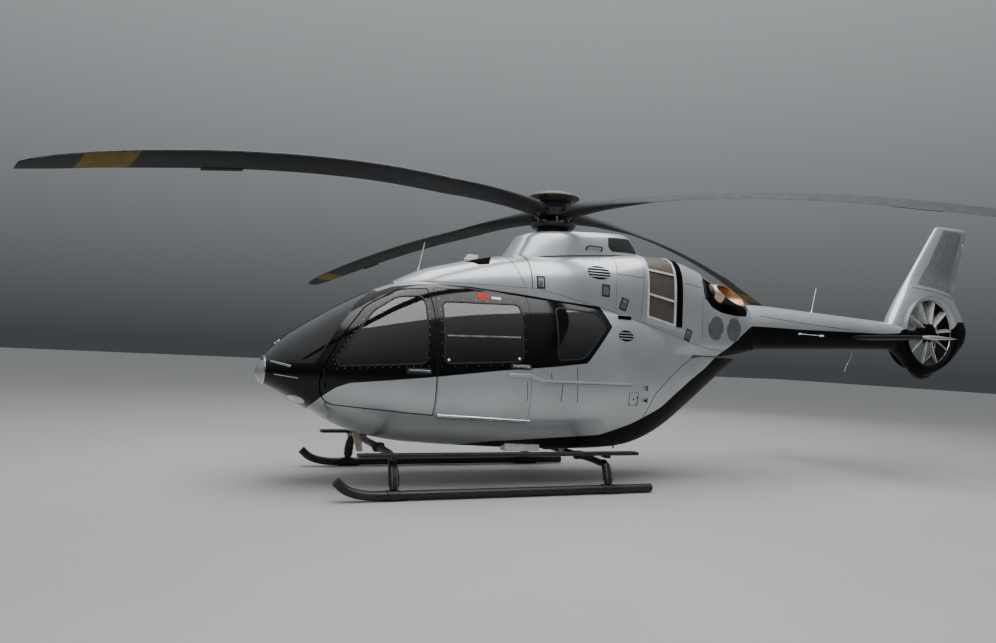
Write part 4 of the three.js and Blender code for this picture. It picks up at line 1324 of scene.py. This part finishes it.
def skids():
    for side, word in SIDES:
        y = side * 1000
        parts = [tube(curved([[x, y, z] for x, z in SKID_PATH], 10), 42, 32)]
        for x0, x1 in ((1050, 1290), (3260, 3560)):
            parts.append(plate(x0, x1, y - 18, y + 18, 0, 12, 2))
        parts.append(tube([(3880, y, 48), (3898, y, 48), (3900, y, 48)], [44, 44, 38]))
        for _, _, x, _ in BOWS:
            clamp = [(x + shift, y, 48) for shift in (-60, -58, 58, 60)]
            parts.append(tube(clamp, [43.5, 47.5, 47.5, 43.5]))
            for shift in (-38, 38):
                parts.append(turned_at((x + shift, side * 1046), [(9, 56), (9, 70), (6, 74)], 6))
        finished("skid_" + word, parts, "dark_grey_paint", gear_enamel, "airframe", "skid_tube_" + word)


# Bow between the skids, with a slim ribbed fairing on each leg and clamps under the belly
def cross_tube(name, node, x, high):
    bend = ((-1000, 98), (-978, 190), (-925, 290), (-840, high - 12), (-640, high), (-400, high))
    half = [[x, y, z] for y, z in bend]
    legs = rows_of("x y z", half)
    parts = [tube(curved(half + [[x, 0, high]] + [[a, -b, c] for a, b, c in reversed(half)], 10), 34, 32)]
    beads = []
    for side in (-1, 1):
        spots = [between(legs, 0.1 + i * 0.15) for i in range(15)]
        rings = []
        for i, s in enumerate(spots):
            wide = 38 + 11 * math.sin(math.pi * i / 14) ** 0.5
            rings.append([(a, b, s["z"]) for a, b in soft_oval(x + 4, -side * s["y"], wide, 37, 0.9, 24)])
        parts.append(loft(rings))
        for shift in (-20, 26):
            run = [(x + shift, side * (33 - s["y"]), s["z"]) for s in spots]
            beads.append(tube(run, [3] + [8] * 13 + [3], 10))
        for place, tall in ((0.5, 8), (1.1, 7)):
            s = between(legs, place)
            band = []
            for lift, out in ((-tall, 1), (-tall + 1, 3.5), (tall - 1, 3.5), (tall, 1)):
                ring = soft_oval(x + 4, -side * s["y"], 49 + out, 39 + out, 0.9, 24)
                band.append([(a, b, s["z"] + lift) for a, b in ring])
            parts.append(loft(band))
        parts.append(plate(x - 48, x + 48, side * 346, side * 414, high - 42, high + 44, 6))
        parts.append(plate(x - 62, x + 62, side * 338, side * 422, high - 8, high + 8, 3))
        for shift in (-52, 52):
            bolt = [(10, high - 20), (10, high + 22), (7, high + 26)]
            parts.append(turned_at((x + shift, side * 380), bolt, 6))
        parts.append(plate(x - 68, x + 68, side * 962, side * 1034, 66, 92, 8))
    finished(name, parts, "dark_grey_paint", gear_enamel, "airframe", node)
    finished(name + "_beads", beads, "bare_metal", dull_nickel)


def side_steps():
    for side, word in SIDES:
        rings = []
        for x, inset in ((830, 12), (834, 3), (842, 0), (3728, 0), (3736, 3), (3740, 12)):
            ring = soft_oval(957.5, 397.5, 52.5 - inset * 0.6, 17.5 - inset * 0.5, 0.35, 20)
            rings.append([(x, side * y, z) for y, z in ring])
        parts = [loft(rings)]
        for _, _, x, _ in BOWS:
            parts.append(plate(x - 26, x + 26, side * 884, side * 996, 352, 384, 6))
        finished("step_" + word, parts, "black_paint", gear_enamel, "airframe", "side_step_" + word)
        treads = []
        for x0, x1 in ((900, 1560), (1620, 2560), (2620, 3680)):
            treads.append(plate(x0, x1, side * 918, side * 996, 414.6, 415, 0.1))
        finished("step_grip_" + word, treads, "black_rubber", grip_tape)


skids()
for bow in BOWS:
    cross_tube(*bow)
side_steps()


# Trims and fittings on the skin, made on the port side and mirrored
def window_seals():
    for stem, outline, radius, body in (
        ("crew_seal", CREW_WINDOW, 50, "crew_leaf"),
        ("slide_seal", SLIDE_WINDOW, 70, "airframe"),
        ("rear_seal", REAR_WINDOW, 60, "airframe"),
    ):
        seal = hoop(on_side, grown(outline, 4), 15, 3.5, 3, radius)
        paired(stem, seal, "black_rubber", seal_rubber, body)
    lower = [[150, 1178], [480, 1190], [590, 1372], [682, 1528], [866, 1768], [1050, 1918]]
    paired("screen_seal", strip(on_side, lower, 14, 2.5), "black_rubber", seal_rubber)
    finished("centre_post", strip(on_roof, [[140, 0], [1062, 0]], 26, 3), "black_rubber", seal_rubber)


# Domed screws along an outline, each drawn as a low cone with a flat top
def screw_row(stem, outline, spacing, body="airframe"):
    bpy.ops.object.select_all(action="DESELECT")
    bpy.ops.mesh.primitive_cone_add(vertices=10, radius1=0.0065, radius2=0.004, depth=0.005)
    head = bpy.context.object
    heads = [stand_on(copy_of(head), *p) for p in route_on(on_side, outline, True, 0, spacing)]
    bpy.data.objects.remove(head)
    paired(stem, heads, "bare_metal", machined_metal, body)


def handle(stem, x0, x1, z, body="airframe"):
    middle = (x0 + x1) / 2
    dish = draped(on_side, tilted(middle, z, x1 - x0 + 44, 58, 0), 1.2, 26)
    paired(stem + "_dish", dish, "panel_plastic", panel_abs, body)
    parts = [strip(on_side, [[x0, z + 3], [middle, z + 5], [x1, z]], 24, 15, -4, 20)]
    parts += [strip(on_side, [[x - 9, z + 2], [x + 9, z + 2]], 18, 6) for x in (x0 + 14, x1 - 14)]
    paired(stem, parts, "bare_metal", bright_trim, body)


# Flush latches: a dark frame with a sprung paddle, pressed in at its upper end
def cowl_latches():
    spots = ((2743, 2121, 0), (3497, 2091, -4), (3720, 1958, -17), (4606, 1673, -20))
    frames = [draped(on_side, tilted(x, z, 94, 136, tilt), 2.2, 9) for x, z, tilt in spots]
    plates = [draped(on_side, tilted(x, z + 2, 60, 104, tilt), 3.6, 6) for x, z, tilt in spots]
    paddles = [draped(on_side, tilted(x + tilt * 0.3, z - 14, 34, 62, tilt), 6.5, 5) for x, z, tilt in spots]
    paired("latch_frame", frames, "black_rubber", seal_rubber)
    paired("latch_plate", plates, "bare_metal", machined_metal)
    paired("latch_paddle", paddles, "dark_grey_paint", cover_grey)


# Round vents: a black sheet of painted shade for the opening, a pressed rim and hooded slats across it
def louvres():
    shade_backs = []
    slats = []
    for x, z, long, short, count in ((3431, 2283, 136, 76, 5), (3722, 1614, 101, 60, 4)):
        shade_backs.append(draped(on_side, oval(x, z, long, short), 0.8))
        for i in range(count - 1):
            level = (i + 1) / count * 2 - 1
            reach = long * math.sqrt(1 - level * level) - 3
            line = [[x - reach, z + level * short], [x + reach, z + level * short]]
            slats.append(strip(on_side, line, short * 0.2, 7, -1, 16))
    shade_backs.append(draped(on_side, tilted(3731, 1811, 180, 42, 0), 1.2, 20))
    paired("vent_shade_back", shade_backs, "black_rubber", opening_shade_black)
    slats.append(hoop(on_side, tilted(3731, 1811, 188, 50, 0), 7, 3, 3, 24, 12))
    paired("vent_slats", slats, "silver_paint", silver_paint)


def side_trims():
    rail = [[2330, 1152], [2577, 1150], [2660, 1118], [2737, 1096], [3811, 1092]]
    paired("door_rail", strip(on_side, rail, 34, 9), "silver_paint", silver_paint)
    # The rail's slot is a black rubber strip that paints the shade inside it
    slot = strip(on_side, [[2745, 1088], [3800, 1084]], 8, 10, -6)
    paired("rail_slot_shade", slot, "black_rubber", seal_rubber)
    paired("sill_strip", strip(on_side, [[1625, 748], [2600, 700]], 30, 24), "bare_metal", bright_trim)
    discs = [draped(on_side, oval(x, 1780, 143, 143), 2.5) for x in (5070, 5408)]
    paired("vent_cover", discs, "dark_grey_paint", cover_grey)
    rings = [hoop(on_side, oval(x, 1780, 136, 136), 6, 4.5, -1) for x in (5070, 5408)]
    paired("vent_cover_ring", rings, "bare_metal", machined_metal)
    caps = []
    for x, z, radius in ((3840, 940, 9), (4008, 925, 14), (3897, 953, 11), (3795, 884, 6), (3886, 886, 6)):
        caps.append(draped(on_side, oval(x, z, radius, radius, 0, 14), 4))
    paired("small_caps", caps, "panel_plastic", panel_abs)
    paired("window_bar", strip(on_side, WINDOW_BAR, 15, 1), "bare_metal", machined_metal)
    knobs = [draped(on_side, oval(x, z, 13, 13, 0, 16), 6) for x, z in ((1702, 1276), (2440, 1318))]
    paired("window_knobs", knobs, "panel_plastic", white_enamel)
    shape = [[2034, 1964], [2156, 1958], [2154, 1900], [2124, 1901], [2122, 1878], [2064, 1880], [2063, 1904]]
    finished("red_tag", draped(on_side, shape + [[2032, 1905]], 3, 4), "panel_plastic", red_enamel)
    white = draped(on_side, [[2188, 1928], [2288, 1924], [2287, 1902], [2187, 1906]], 2, 3)
    finished("white_tag", white, "panel_plastic", white_enamel)


def nose_trims():
    places = ((1.6, 3), (1.62, -1.2), (1.76, -1.2), (1.78, 3))
    rings = [pod_ring(between(POD, place), inset, 72) for place, inset in places]
    finished("nose_ring", loft(rings), "bare_metal", bright_trim)
    bar = strip(on_side, [[118, 1184], [286, 1149]], 20, 4, step=12)
    paired("nose_bar", bar, "bare_metal", bright_trim)
    line = strip(on_side, [[151, 1066], [350, 1042]], 7, 2, step=12)
    paired("nose_line", line, "bare_metal", bright_trim)
    paired("landing_lamp", draped(on_side, oval(368, 834, 74, 26, -20), 3), "tinted_glass", lamp_glass)
    rim = hoop(on_side, oval(368, 834, 78, 30, -20), 7, 5, 2, 0, 14)
    paired("lamp_rim", rim, "bare_metal", bright_trim)
    probe = hoop(on_roof, oval(190, 0, 24, 24, 0, 16), 7, 4, 2)
    finished("probe_ring", probe, "bare_metal", bright_trim)


# Roof and belly fittings: air slots drawn as black sheets of painted shade, aerials, a lamp and a tapered
# mast
def whip(name, foot, top):
    spots = [tuple(Vector(foot).lerp(Vector(top), i / 5)) for i in range(6)]
    made = tube(spots[:1] + spots, [12, 9.6, 4, 4, 4, 4, 2.4], 12)
    finished(name, made, "panel_plastic", white_enamel)


# A fin-shaped aerial: a cube stretched, drawn in and swept back in edit mode
def blade_aerial(name, spot, down, long, tall, sweep, material):
    piece = applied(cube(0.001, Matrix.Diagonal((long, 22, tall, 1))), "BEVEL", width=0.006, segments=3)
    bpy.ops.object.mode_set(mode="EDIT")
    bpy.ops.mesh.select_all(action="DESELECT")
    bpy.ops.object.mode_set(mode="OBJECT")
    for vertex in piece.data.vertices:
        vertex.select = vertex.co.z > 0
    bpy.ops.object.mode_set(mode="EDIT")
    bpy.ops.transform.resize(value=(0.8, 0.5, 1))
    bpy.ops.transform.translate(value=(sweep / 1000, 0, 0))
    bpy.ops.object.mode_set(mode="OBJECT")
    if down:
        piece.data.transform(Matrix.Diagonal((1, 1, -1, 1)))
        piece.data.flip_normals()
    piece.data.transform(Matrix.Translation(at(*spot)))
    finished(name, piece, "panel_plastic", material)


BELLY_AERIALS = [
    ["front", 1018, 0, 84, 205, 46, cream_paint],
    ["middle", 3331, -100, 96, 66, 8, white_enamel],
    ["rear", 3992, -100, 30, 52, 6, white_enamel],
]


def roof_and_belly():
    # The roof slots are black sheets that paint the shade inside them
    slots = draped(on_roof, [[2005, -221], [2324, -195], [2221, -400], [2108, -379]], 2, 14)
    paired("roof_slot_shade", slots, "black_rubber", opening_shade_black)
    foot = on_roof(1576, 0)[0]
    whip("roof_whip", foot, foot + Vector((60, 0, 305)))
    foot = on_roof(2160, 0)[0]
    blade_aerial("roof_aerial", (2160, 0, foot.z + 26), False, 150, 60, 25, white_enamel)
    for word, x, y, long, tall, sweep, finish in BELLY_AERIALS:
        spot = (x, y, on_belly(x, y)[0].z - tall / 2 + 8)
        blade_aerial("belly_aerial_" + word, spot, True, long, tall, sweep, finish)
    floor = on_belly(2660, -400)[0].z
    low = floor - 46
    parts = [plate(2462, 2862, -470, -330, low, floor + 42, 10)]
    for x in (2500, 2824):
        parts.append(turned_at((x, -400), [(9, low - 4), (12, low - 2), (12, low + 4)], 6))
    for z in (low + 22, low + 56):
        parts.append(plate(2486, 2838, -473, -468, z, z + 5, 1))
    finished("belly_aerial_pod", parts, "panel_plastic", white_enamel)
    finished("belly_lamp", draped(on_belly, oval(2780, 0, 60, 60), 12), "panel_plastic", red_enamel)
    whip("boom_whip", (6900, -170, 2078), (7040, -110, 2437))
    posts = []
    for x, z in ((6626, 1800), (7008, 1795)):
        posts.append(tube([(x, -225, z), (x, -252, z), (x, -276, z), (x, -284, z)], [16, 12, 12, 8], 14))
    posts.append(tube([(6600, -270, 1801), (7034, -270, 1794)], 4, 10))
    finished("boom_rod", posts, "panel_plastic", white_enamel)


# Air intakes: a wire screen let into the cowl, a frame with two cross bars, and a black strip of painted
# shade behind
def intakes():
    screen = carve(cowl(9), cowl(13))
    carve(screen, prism(grown(INTAKE, -3), -REACH, -353, 15), "INTERSECT")
    paired("intake_screen", screen, "mesh_screen", screen_wire, "airframe", "intake_grille")
    sheet = carve(cowl(-4), cowl(8))
    rim = prism(grown(INTAKE, 11), -REACH, -340, 15)
    carve(rim, prism(grown(INTAKE, -11), -2 * REACH, -300, 12))
    parts = [shared(sheet, rim)]
    for fore, aft in INTAKE_BARS:
        bar = [[4020, fore - 11], [4410, aft - 11], [4410, aft + 11], [4020, fore + 11]]
        parts.append(shared(sheet, prism(bar, -REACH, -340)))
    paired("intake_frame", parts, "silver_paint", frame_enamel)
    # Behind the intake, a black strip paints the shade there
    strip_of_shade = shared(sheet, box(4424, 4510, -REACH, -330, 1752, 3000))
    paired("intake_shade_strip", strip_of_shade, "black_rubber", opening_shade_black)
    bpy.data.objects.remove(sheet)
    sill = strip(on_side, [[4000, 1806], [4508, 1702]], 44, 8)
    paired("intake_sill", sill, "silver_paint", silver_paint)


# Jet pipes: a flared duct cut slantwise so its oval mouth looks up and outboard, dark outside,
# with a bright clamp ring at its top lip and a black sheet behind it that paints the shade in the cowl's
# cutout
def pipe_slant():
    middle = Vector(PIPE_MOUTH)
    down = Vector((238, -148, -260)).normalized()
    across = Vector((342, 94, 0)).normalized()
    away = down.cross(across)
    rings = []
    for lift in (0, 700):
        rings.append([tuple(middle + down * a * 600 + across * b * 600 + away * lift) for a, b in SQUARE])
    return loft(rings)


def jet_pipes():
    pipe = carve(pipe_tube(-1), pipe_slant())
    carve(pipe, pipe_tube(-6, 2))
    paired("jet_pipe", pipe, "hot_metal", hot_alloy, "airframe", "exhaust")
    for side, word in ((1, "left"), (-1, "right")):
        pipe = bpy.data.objects[f"jet_pipe_{word}_skin"]
        # Faces that look out from the pipe's line take the dark outside finish
        pipe.data.materials.append(pipe_outside_dark)
        line = [at(x, y * side, z) for x, y, z in curved(EXHAUST_PATH, 6)]
        for face in pipe.data.polygons:
            nearest = min(line, key=lambda p: (p - face.center).length)
            if face.normal.dot(face.center - nearest) > 0.02:
                face.material_index = 1
    ring = carve(pipe_tube(5), pipe_tube(-3))
    carve(ring, box(5095, 5195, -REACH, -100, 1900, 2600), "INTERSECT")
    paired("pipe_clamp", carve(ring, pipe_slant()), "hot_metal", band_alloy)
    # A black sheet behind the exhaust cutout paints the shade there
    cutout_shade = carve(cowl(31), cowl(35))
    carve(cutout_shade, prism(grown(EXHAUST_HOLE, 14), -REACH, -170, 60), "INTERSECT")
    paired("exhaust_shade_sheet", carve(cutout_shade, pipe_tube(14)), "panel_plastic", opening_shade_black)
    bracket = draped(on_side, [[4868, 2330], [4905, 2330], [4912, 2130], [4880, 2090]], 5, 10)
    paired("exhaust_bracket", bracket, "panel_plastic", panel_abs)


# Mast fairing: base strip, mesh panels with bright edges at the rear, grab loops, boot round the mast
def fairing_trims():
    on_fairing = caster(skin_of(fairing(0)))
    base = [[2640, 2400], [3140, 2456], [3600, 2503], [4080, 2552]]
    paired("fairing_base", strip(on_fairing, base, 12, 3), "black_rubber", seal_rubber)
    mesh = [[3665, 2722], [4005, 2746], [4130, 2605], [4080, 2575], [3700, 2560], [3655, 2610]]
    paired("fairing_mesh", draped(on_fairing, mesh, 1.5, 20), "mesh_screen", dark_mesh)
    edge = strip(on_fairing, [[4020, 2750], [4145, 2600]], 16, 5)
    paired("fairing_edge", edge, "silver_paint", silver_paint)
    (first, push), (last, pull) = [on_fairing(x, 2548) for x in (3370, 3560)]
    out = Vector((0, -26, 42))
    path = [first - push * 4, first + out * 0.7, first.lerp(last, 0.08) + out, last.lerp(first, 0.08) + out]
    path += [last + out * 0.7, last - pull * 4]
    paired("grab_loop", tube(path, 9, 14), "bare_metal", gear_enamel)
    folds = [(120, 2680)]
    for i in range(4):
        z = 2700 + i * 22
        folds += [(208 - 6 * i, z), (196 - 6 * i, z + 11)]
    folds += [(176, 2790), (120, 2790)]
    boot = carve(turned_mast(folds), turned_mast([(100, 2600), (100, 2900)], 48))
    finished("mast_boot", boot, "black_rubber", seal_rubber)


# Fin: recessed grey panel with a ridge over the duct, a rear joint line and lamps, then a joint line and a
# whip on the boom
def fin_trims():
    on_fin = caster(skin_of(fin_body(0)))
    panel = [[8985, 2645], [9650, 2560], [9800, 3080], [9965, 3500], [9560, 3500], [9225, 2950]]
    paired("fin_panel", draped(on_fin, panel, 1.2, 30), "silver_paint", panel_grey)
    ridge = strip(on_fin, [[8890, 2605], [9280, 2575], [9680, 2510]], 30, 8)
    paired("fin_ridge", ridge, "silver_paint", silver_paint)
    joint = strip(on_fin, [[9660, 2470], [9700, 2600], [9840, 3090]], 7, 1.5)
    paired("fin_rear_joint", joint, "black_rubber", seal_rubber)
    paired("tail_lamp", draped(on_fin, oval(10020, 3290, 26, 44), 5), "tinted_glass", lamp_glass)
    joint = strip(caster(skin_of(boom(0))), [[5969, 1989], [6643, 1943], [7560, 1905]], 6, 1.5)
    paired("boom_joint", joint, "black_rubber", seal_rubber)
    path = [[7790, -40, 1650], [7770, -60, 1560], [7700, -90, 1500], [7640, -100, 1430], [7600, -100, 1345]]
    finished("boom_lower_whip", tube(curved(path, 6), 3.5, 10), "panel_plastic", white_enamel)


window_seals()
screw_row("crew_screws", grown(CREW_WINDOW, 26), 75, "crew_leaf")
screw_row("slide_screws", grown(SLIDE_WINDOW, 30), 130)
handle("crew_handle", 1318, 1518, 1155, "crew_leaf")
handle("slide_handle", 2370, 2556, 1238)
cowl_latches()
louvres()
side_trims()
nose_trims()
roof_and_belly()
intakes()
jet_pipes()
fairing_trims()
fin_trims()


# Padded seats: one seat pad and one back pad are blown up as cloth, then copied to each place
def pad(long, wide, thick, travel):
    piece = cube(0.001, Matrix.Diagonal((long, wide, thick, 1)))
    applied(piece, "BEVEL", width=thick * 0.4 / 1000, segments=4)
    piece.data.remesh_voxel_size = 0.007
    bpy.ops.object.voxel_remesh()
    start = [v.co.copy() for v in piece.data.vertices]
    cloth = piece.modifiers.new("air", "CLOTH")
    cloth.settings.use_pressure = True
    cloth.settings.uniform_pressure_force = 4
    cloth.settings.effector_weights.gravity = 0
    for step in range(1, 21):
        bpy.context.scene.frame_set(step)
    blown = piece.evaluated_get(bpy.context.evaluated_depsgraph_get())
    ends = [v.co.copy() for v in blown.data.vertices]
    piece.modifiers.remove(cloth)
    for vertex, before, after in zip(piece.data.vertices, start, ends):
        push = after - before
        if push.length > travel / 1000:
            push = push.normalized() * travel / 1000
        vertex.co = before + push
    bpy.context.scene.frame_set(1)
    stitch(piece, long, wide)
    return applied(piece, "SUBSURF", levels=1, render_levels=1)


# Sewn channels: two across the pad and one welt line round its edge, pulled in by the thread
def stitch(piece, long, wide):
    normals = [v.normal.copy() for v in piece.data.vertices]
    for vertex, normal in zip(piece.data.vertices, normals):
        x, y, _ = vertex.co * 1000
        welt = abs(max(abs(x) - (long / 2 - 34), abs(y) - (wide / 2 - 34)))
        near = min(abs(abs(x) - long / 6), welt)
        if normal.z > 0.2:
            vertex.co -= normal * 0.007 * math.exp(-((near / 8) ** 2))


def set_down(piece, name, x, y, z, lean, nodes=()):
    twin = copy_of(piece)
    turn = Matrix.Rotation(math.radians(-lean), 4, "Y")
    twin.data.transform(Matrix.Translation(at(x, y, z)) @ turn)
    finished(name, twin, "seat_leather", cowhide, "airframe", *nodes)


def seat_frame(name, x, y, half):
    pan = []
    for dx, low, high in ((1018, 944, 962), (1100, 938, 962), (1400, 938, 966), (1452, 958, 990)):
        ends = ((-half, low), (half, low), (half, high), (-half, high))
        pan.append([(x + dx, y + side, z) for side, z in ends])
    back = []
    leaning = ((1448, 1000, 16), (1520, 1210, 16), (1612, 1500, 16), (1640, 1700, 14), (1636, 1730, 8))
    for dx, z, deep in leaning:
        ends = ((-deep, -half), (0, -half), (0, half), (-deep, half))
        back.append([(x + dx + fore, y + side, z) for fore, side in ends])
    parts = [loft(pan), loft(back)]
    for rail in (y - 66, y + 66):
        parts.append(plate(x + 1090, x + 1425, rail - 9, rail + 9, 668, 940, 4))
        parts.append(plate(x + 1060, x + 1440, rail - 16, rail + 16, 661, 670, 3))
    finished(name, parts, "panel_plastic", panel_abs)


def seats():
    bottom = pad(350, 330, 46, 16)
    back = pad(520, 320, 46, 16)
    head = pad(110, 220, 46, 12)
    for stem, x, y, nodes in (
        ("crew_left", 0, -370, ["crew_seat_left"]),
        ("crew_right", 0, 370, ["crew_seat_right"]),
        ("cabin_left", 1680, -400, ["cabin_seat_row"]),
        ("cabin_middle", 1680, 0, []),
        ("cabin_right", 1680, 400, []),
    ):
        set_down(bottom, stem + "_pad", x + 1205, y, 1005, 2, nodes)
        set_down(back, stem + "_back", x + 1494, y, 1330, -75)
        set_down(head, stem + "_head", x + 1583, y, 1672, -83)
        seat_frame(stem + "_frame", x, y, 186 if x == 0 else 192)
    for piece in (bottom, back, head):
        bpy.data.objects.remove(piece)


# Panel hood, blank displays with bezels, console with rows of keys, sticks and pedals
PANEL_SIDE = [
    [640, 662], [1000, 662], [1000, 900], [800, 960], [760, 1270], [600, 1290], [480, 1180], [640, 1120],
]
GRIP_RADII = [17, 19, 20, 20, 20, 21, 21, 20, 20, 18, 12]


def cockpit():
    hood = prism(PANEL_SIDE, -330, 330, 24)
    cut_both(hood, box(400, 1100, -700, -130, 600, 1000))
    carve(hood, pod(WALL + 8, False), "INTERSECT")
    slope = math.atan2(310, -40)
    bezels = []
    for y, drop in ((-245, 0), (-82, 0), (-82, 1), (82, 0), (82, 1), (245, 0)):
        bezel = plate(-70, 70, -62, 62, -6, 6, 4)
        bezel.data.transform(Matrix.Translation(-at(0, 0, 0)))
        middle = at(784 + drop * 18, y, 1190 - drop * 145)
        bezel.data.transform(Matrix.Translation(middle) @ Matrix.Rotation(slope, 4, "Y"))
        bezels.append(bezel)
    screens = []
    for bezel in bezels:
        screen = copy_of(bezel)
        middle = sum((v.co for v in screen.data.vertices), Vector((0, 0, 0))) / len(screen.data.vertices)
        shrink = Matrix.Translation(middle + Vector((0.003, 0, 0))) @ Matrix.Scale(0.84, 4)
        screen.data.transform(shrink @ Matrix.Translation(-middle))
        screens.append(screen)
    finished("tool", hood, "panel_plastic", panel_abs, "airframe", "instrument_panel")
    finished("display_bezels", bezels, "panel_plastic", seal_rubber)
    finished("display_glass", screens, "tinted_glass", display_glass)
    keys = []
    for x, lift in [(826 + i * 28, -i * 8) for i in range(6)]:
        for y in range(-88, 65, 38):
            keys.append(plate(x, x + 18, y, y + 26, 928 + lift, 948 + lift, 3))
    finished("console_keys", keys, "panel_plastic", trim_vinyl)
    for y, word in ((-375, "left"), (375, "right")):
        stick = tube(curved([[930, y, 668], [945, y, 760], [985, y, 880], [975, y, 960]], 6), 11, 16)
        grip = tube(curved([[975, y, 950], [968, y, 1000], [955, y, 1050]], 5), GRIP_RADII, 16)
        finished("stick_" + word, [stick, grip], "panel_plastic", panel_abs)
        pedals = []
        for foot in (y - 70, y + 70):
            pedals.append(plate(596, 612, foot - 42, foot + 42, 790, 880, 6))
            pedals.append(tube([(604, foot, 800), (640, foot, 740), (668, foot, 668)], 8, 12))
        finished("pedals_" + word, pedals, "bare_metal", machined_metal)


# Hinge knuckles on the pin lines: the lower ones stay, the upper ones turn with the door
def hinges():
    for side, word in SIDES:
        for stem, (x, y), lugs, radius in (
            ("crew", CREW_PIN, CREW_LUGS, 8),
            ("clamshell", CLAM_PIN, CLAM_LUGS, 9),
        ):
            fixed = []
            turning = []
            for low, high in lugs:
                half = (low + high) / 2
                for parts, foot, top in ((fixed, low, half - 1), (turning, half + 1, high)):
                    rows = [(radius - 1, foot), (radius, foot + 1), (radius, top - 1), (radius - 1, top)]
                    parts.append(turned_at((x, -side * y), rows, 20))
            finished(f"{stem}_knuckle_{word}", fixed, "bare_metal", gear_enamel)
            finished(f"{stem}_pin_{word}", turning, "bare_metal", gear_enamel, f"{stem}_leaf_{word}")


seats()
cockpit()
hinges()


# Finishes for the CAD nodes that stay
for name in ("main_gearbox", "engine_left", "engine_right", "cabin_floor"):
    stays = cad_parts[name].data.materials
    stays.clear()
    stays.append(carpet if name == "cabin_floor" else machined_metal)


# Studio
def studio():
    bpy.ops.mesh.primitive_plane_add(size=120, location=(0, 0, -0.002))
    floor = bpy.context.object
    floor.name = "studio_floor"
    material, tree, surface, place = new_material("studio_floor_paint")
    speck = add_node(tree, "TexNoise", {"Vector": place, "Scale": 0.6, "Detail": 3})
    shade = add_node(tree, "Mix", {0: speck, 6: "#9c9c99", 7: "#a6a6a3"}, 2, data_type="RGBA")
    feed(surface, {"Base Color": shade, "Roughness": 0.8})
    floor.data.materials.append(material)
    world = bpy.data.worlds.new("studio")
    world.use_nodes = True
    tree = world.node_tree
    up = add_node(tree, "SeparateXYZ", [add_node(tree, "TexCoord", {}, "Generated")], 2)
    height = add_node(tree, "MapRange", [up, 0.0, 0.75, 0, 1])
    sky = add_node(tree, "Mix", {0: height, 6: "#4c4f52", 7: "#e4e8ec"}, 2, data_type="RGBA")
    feed(tree.nodes["Background"], {"Color": sky, "Strength": 0.75})
    bpy.context.scene.world = world
    for name, spot, target, size, watts in (
        ("overhead", (-1.0, -1.0, 9.0), (0, 0, 0), 12, 1400),
        ("front_left", (-8.0, -9.0, 6.0), (-1, 0, 1.2), 6, 160),
        ("rear_right", (8.0, 8.0, 7.0), (2, 0, 1.2), 8, 220),
    ):
        light = bpy.data.lights.new(name, "AREA")
        light.shape = "DISK"
        light.size = size
        light.energy = watts
        lamp = linked(name, light)
        lamp.location = spot
        lamp.visible_glossy = name == "overhead"
        aim = Vector(target) - Vector(spot)
        lamp.rotation_euler = aim.to_track_quat("-Z", "Y").to_euler()


def camera():
    lens = bpy.data.cameras.new("photo_view")
    lens.sensor_width = SENSOR
    lens.lens = FOCAL_PIXELS / PHOTO_WIDTH * SENSOR
    lens.clip_end = 500
    view = linked("photo_view", lens)
    yaw = math.radians(CAMERA_YAW)
    pitch = math.radians(CAMERA_PITCH)
    roll = math.radians(CAMERA_ROLL)
    ahead = Vector((math.sin(yaw) * math.cos(pitch), math.cos(yaw) * math.cos(pitch), math.sin(pitch)))
    right = Vector((math.cos(yaw), -math.sin(yaw), 0))
    up = right.cross(ahead)
    level = right * math.cos(roll) + up * math.sin(roll)
    top = up * math.cos(roll) - right * math.sin(roll)
    turn = Matrix((level, top, -ahead)).transposed().to_4x4()
    view.matrix_world = Matrix.Translation(CAMERA_PLACE) @ turn
    bpy.context.scene.camera = view


studio()
camera()
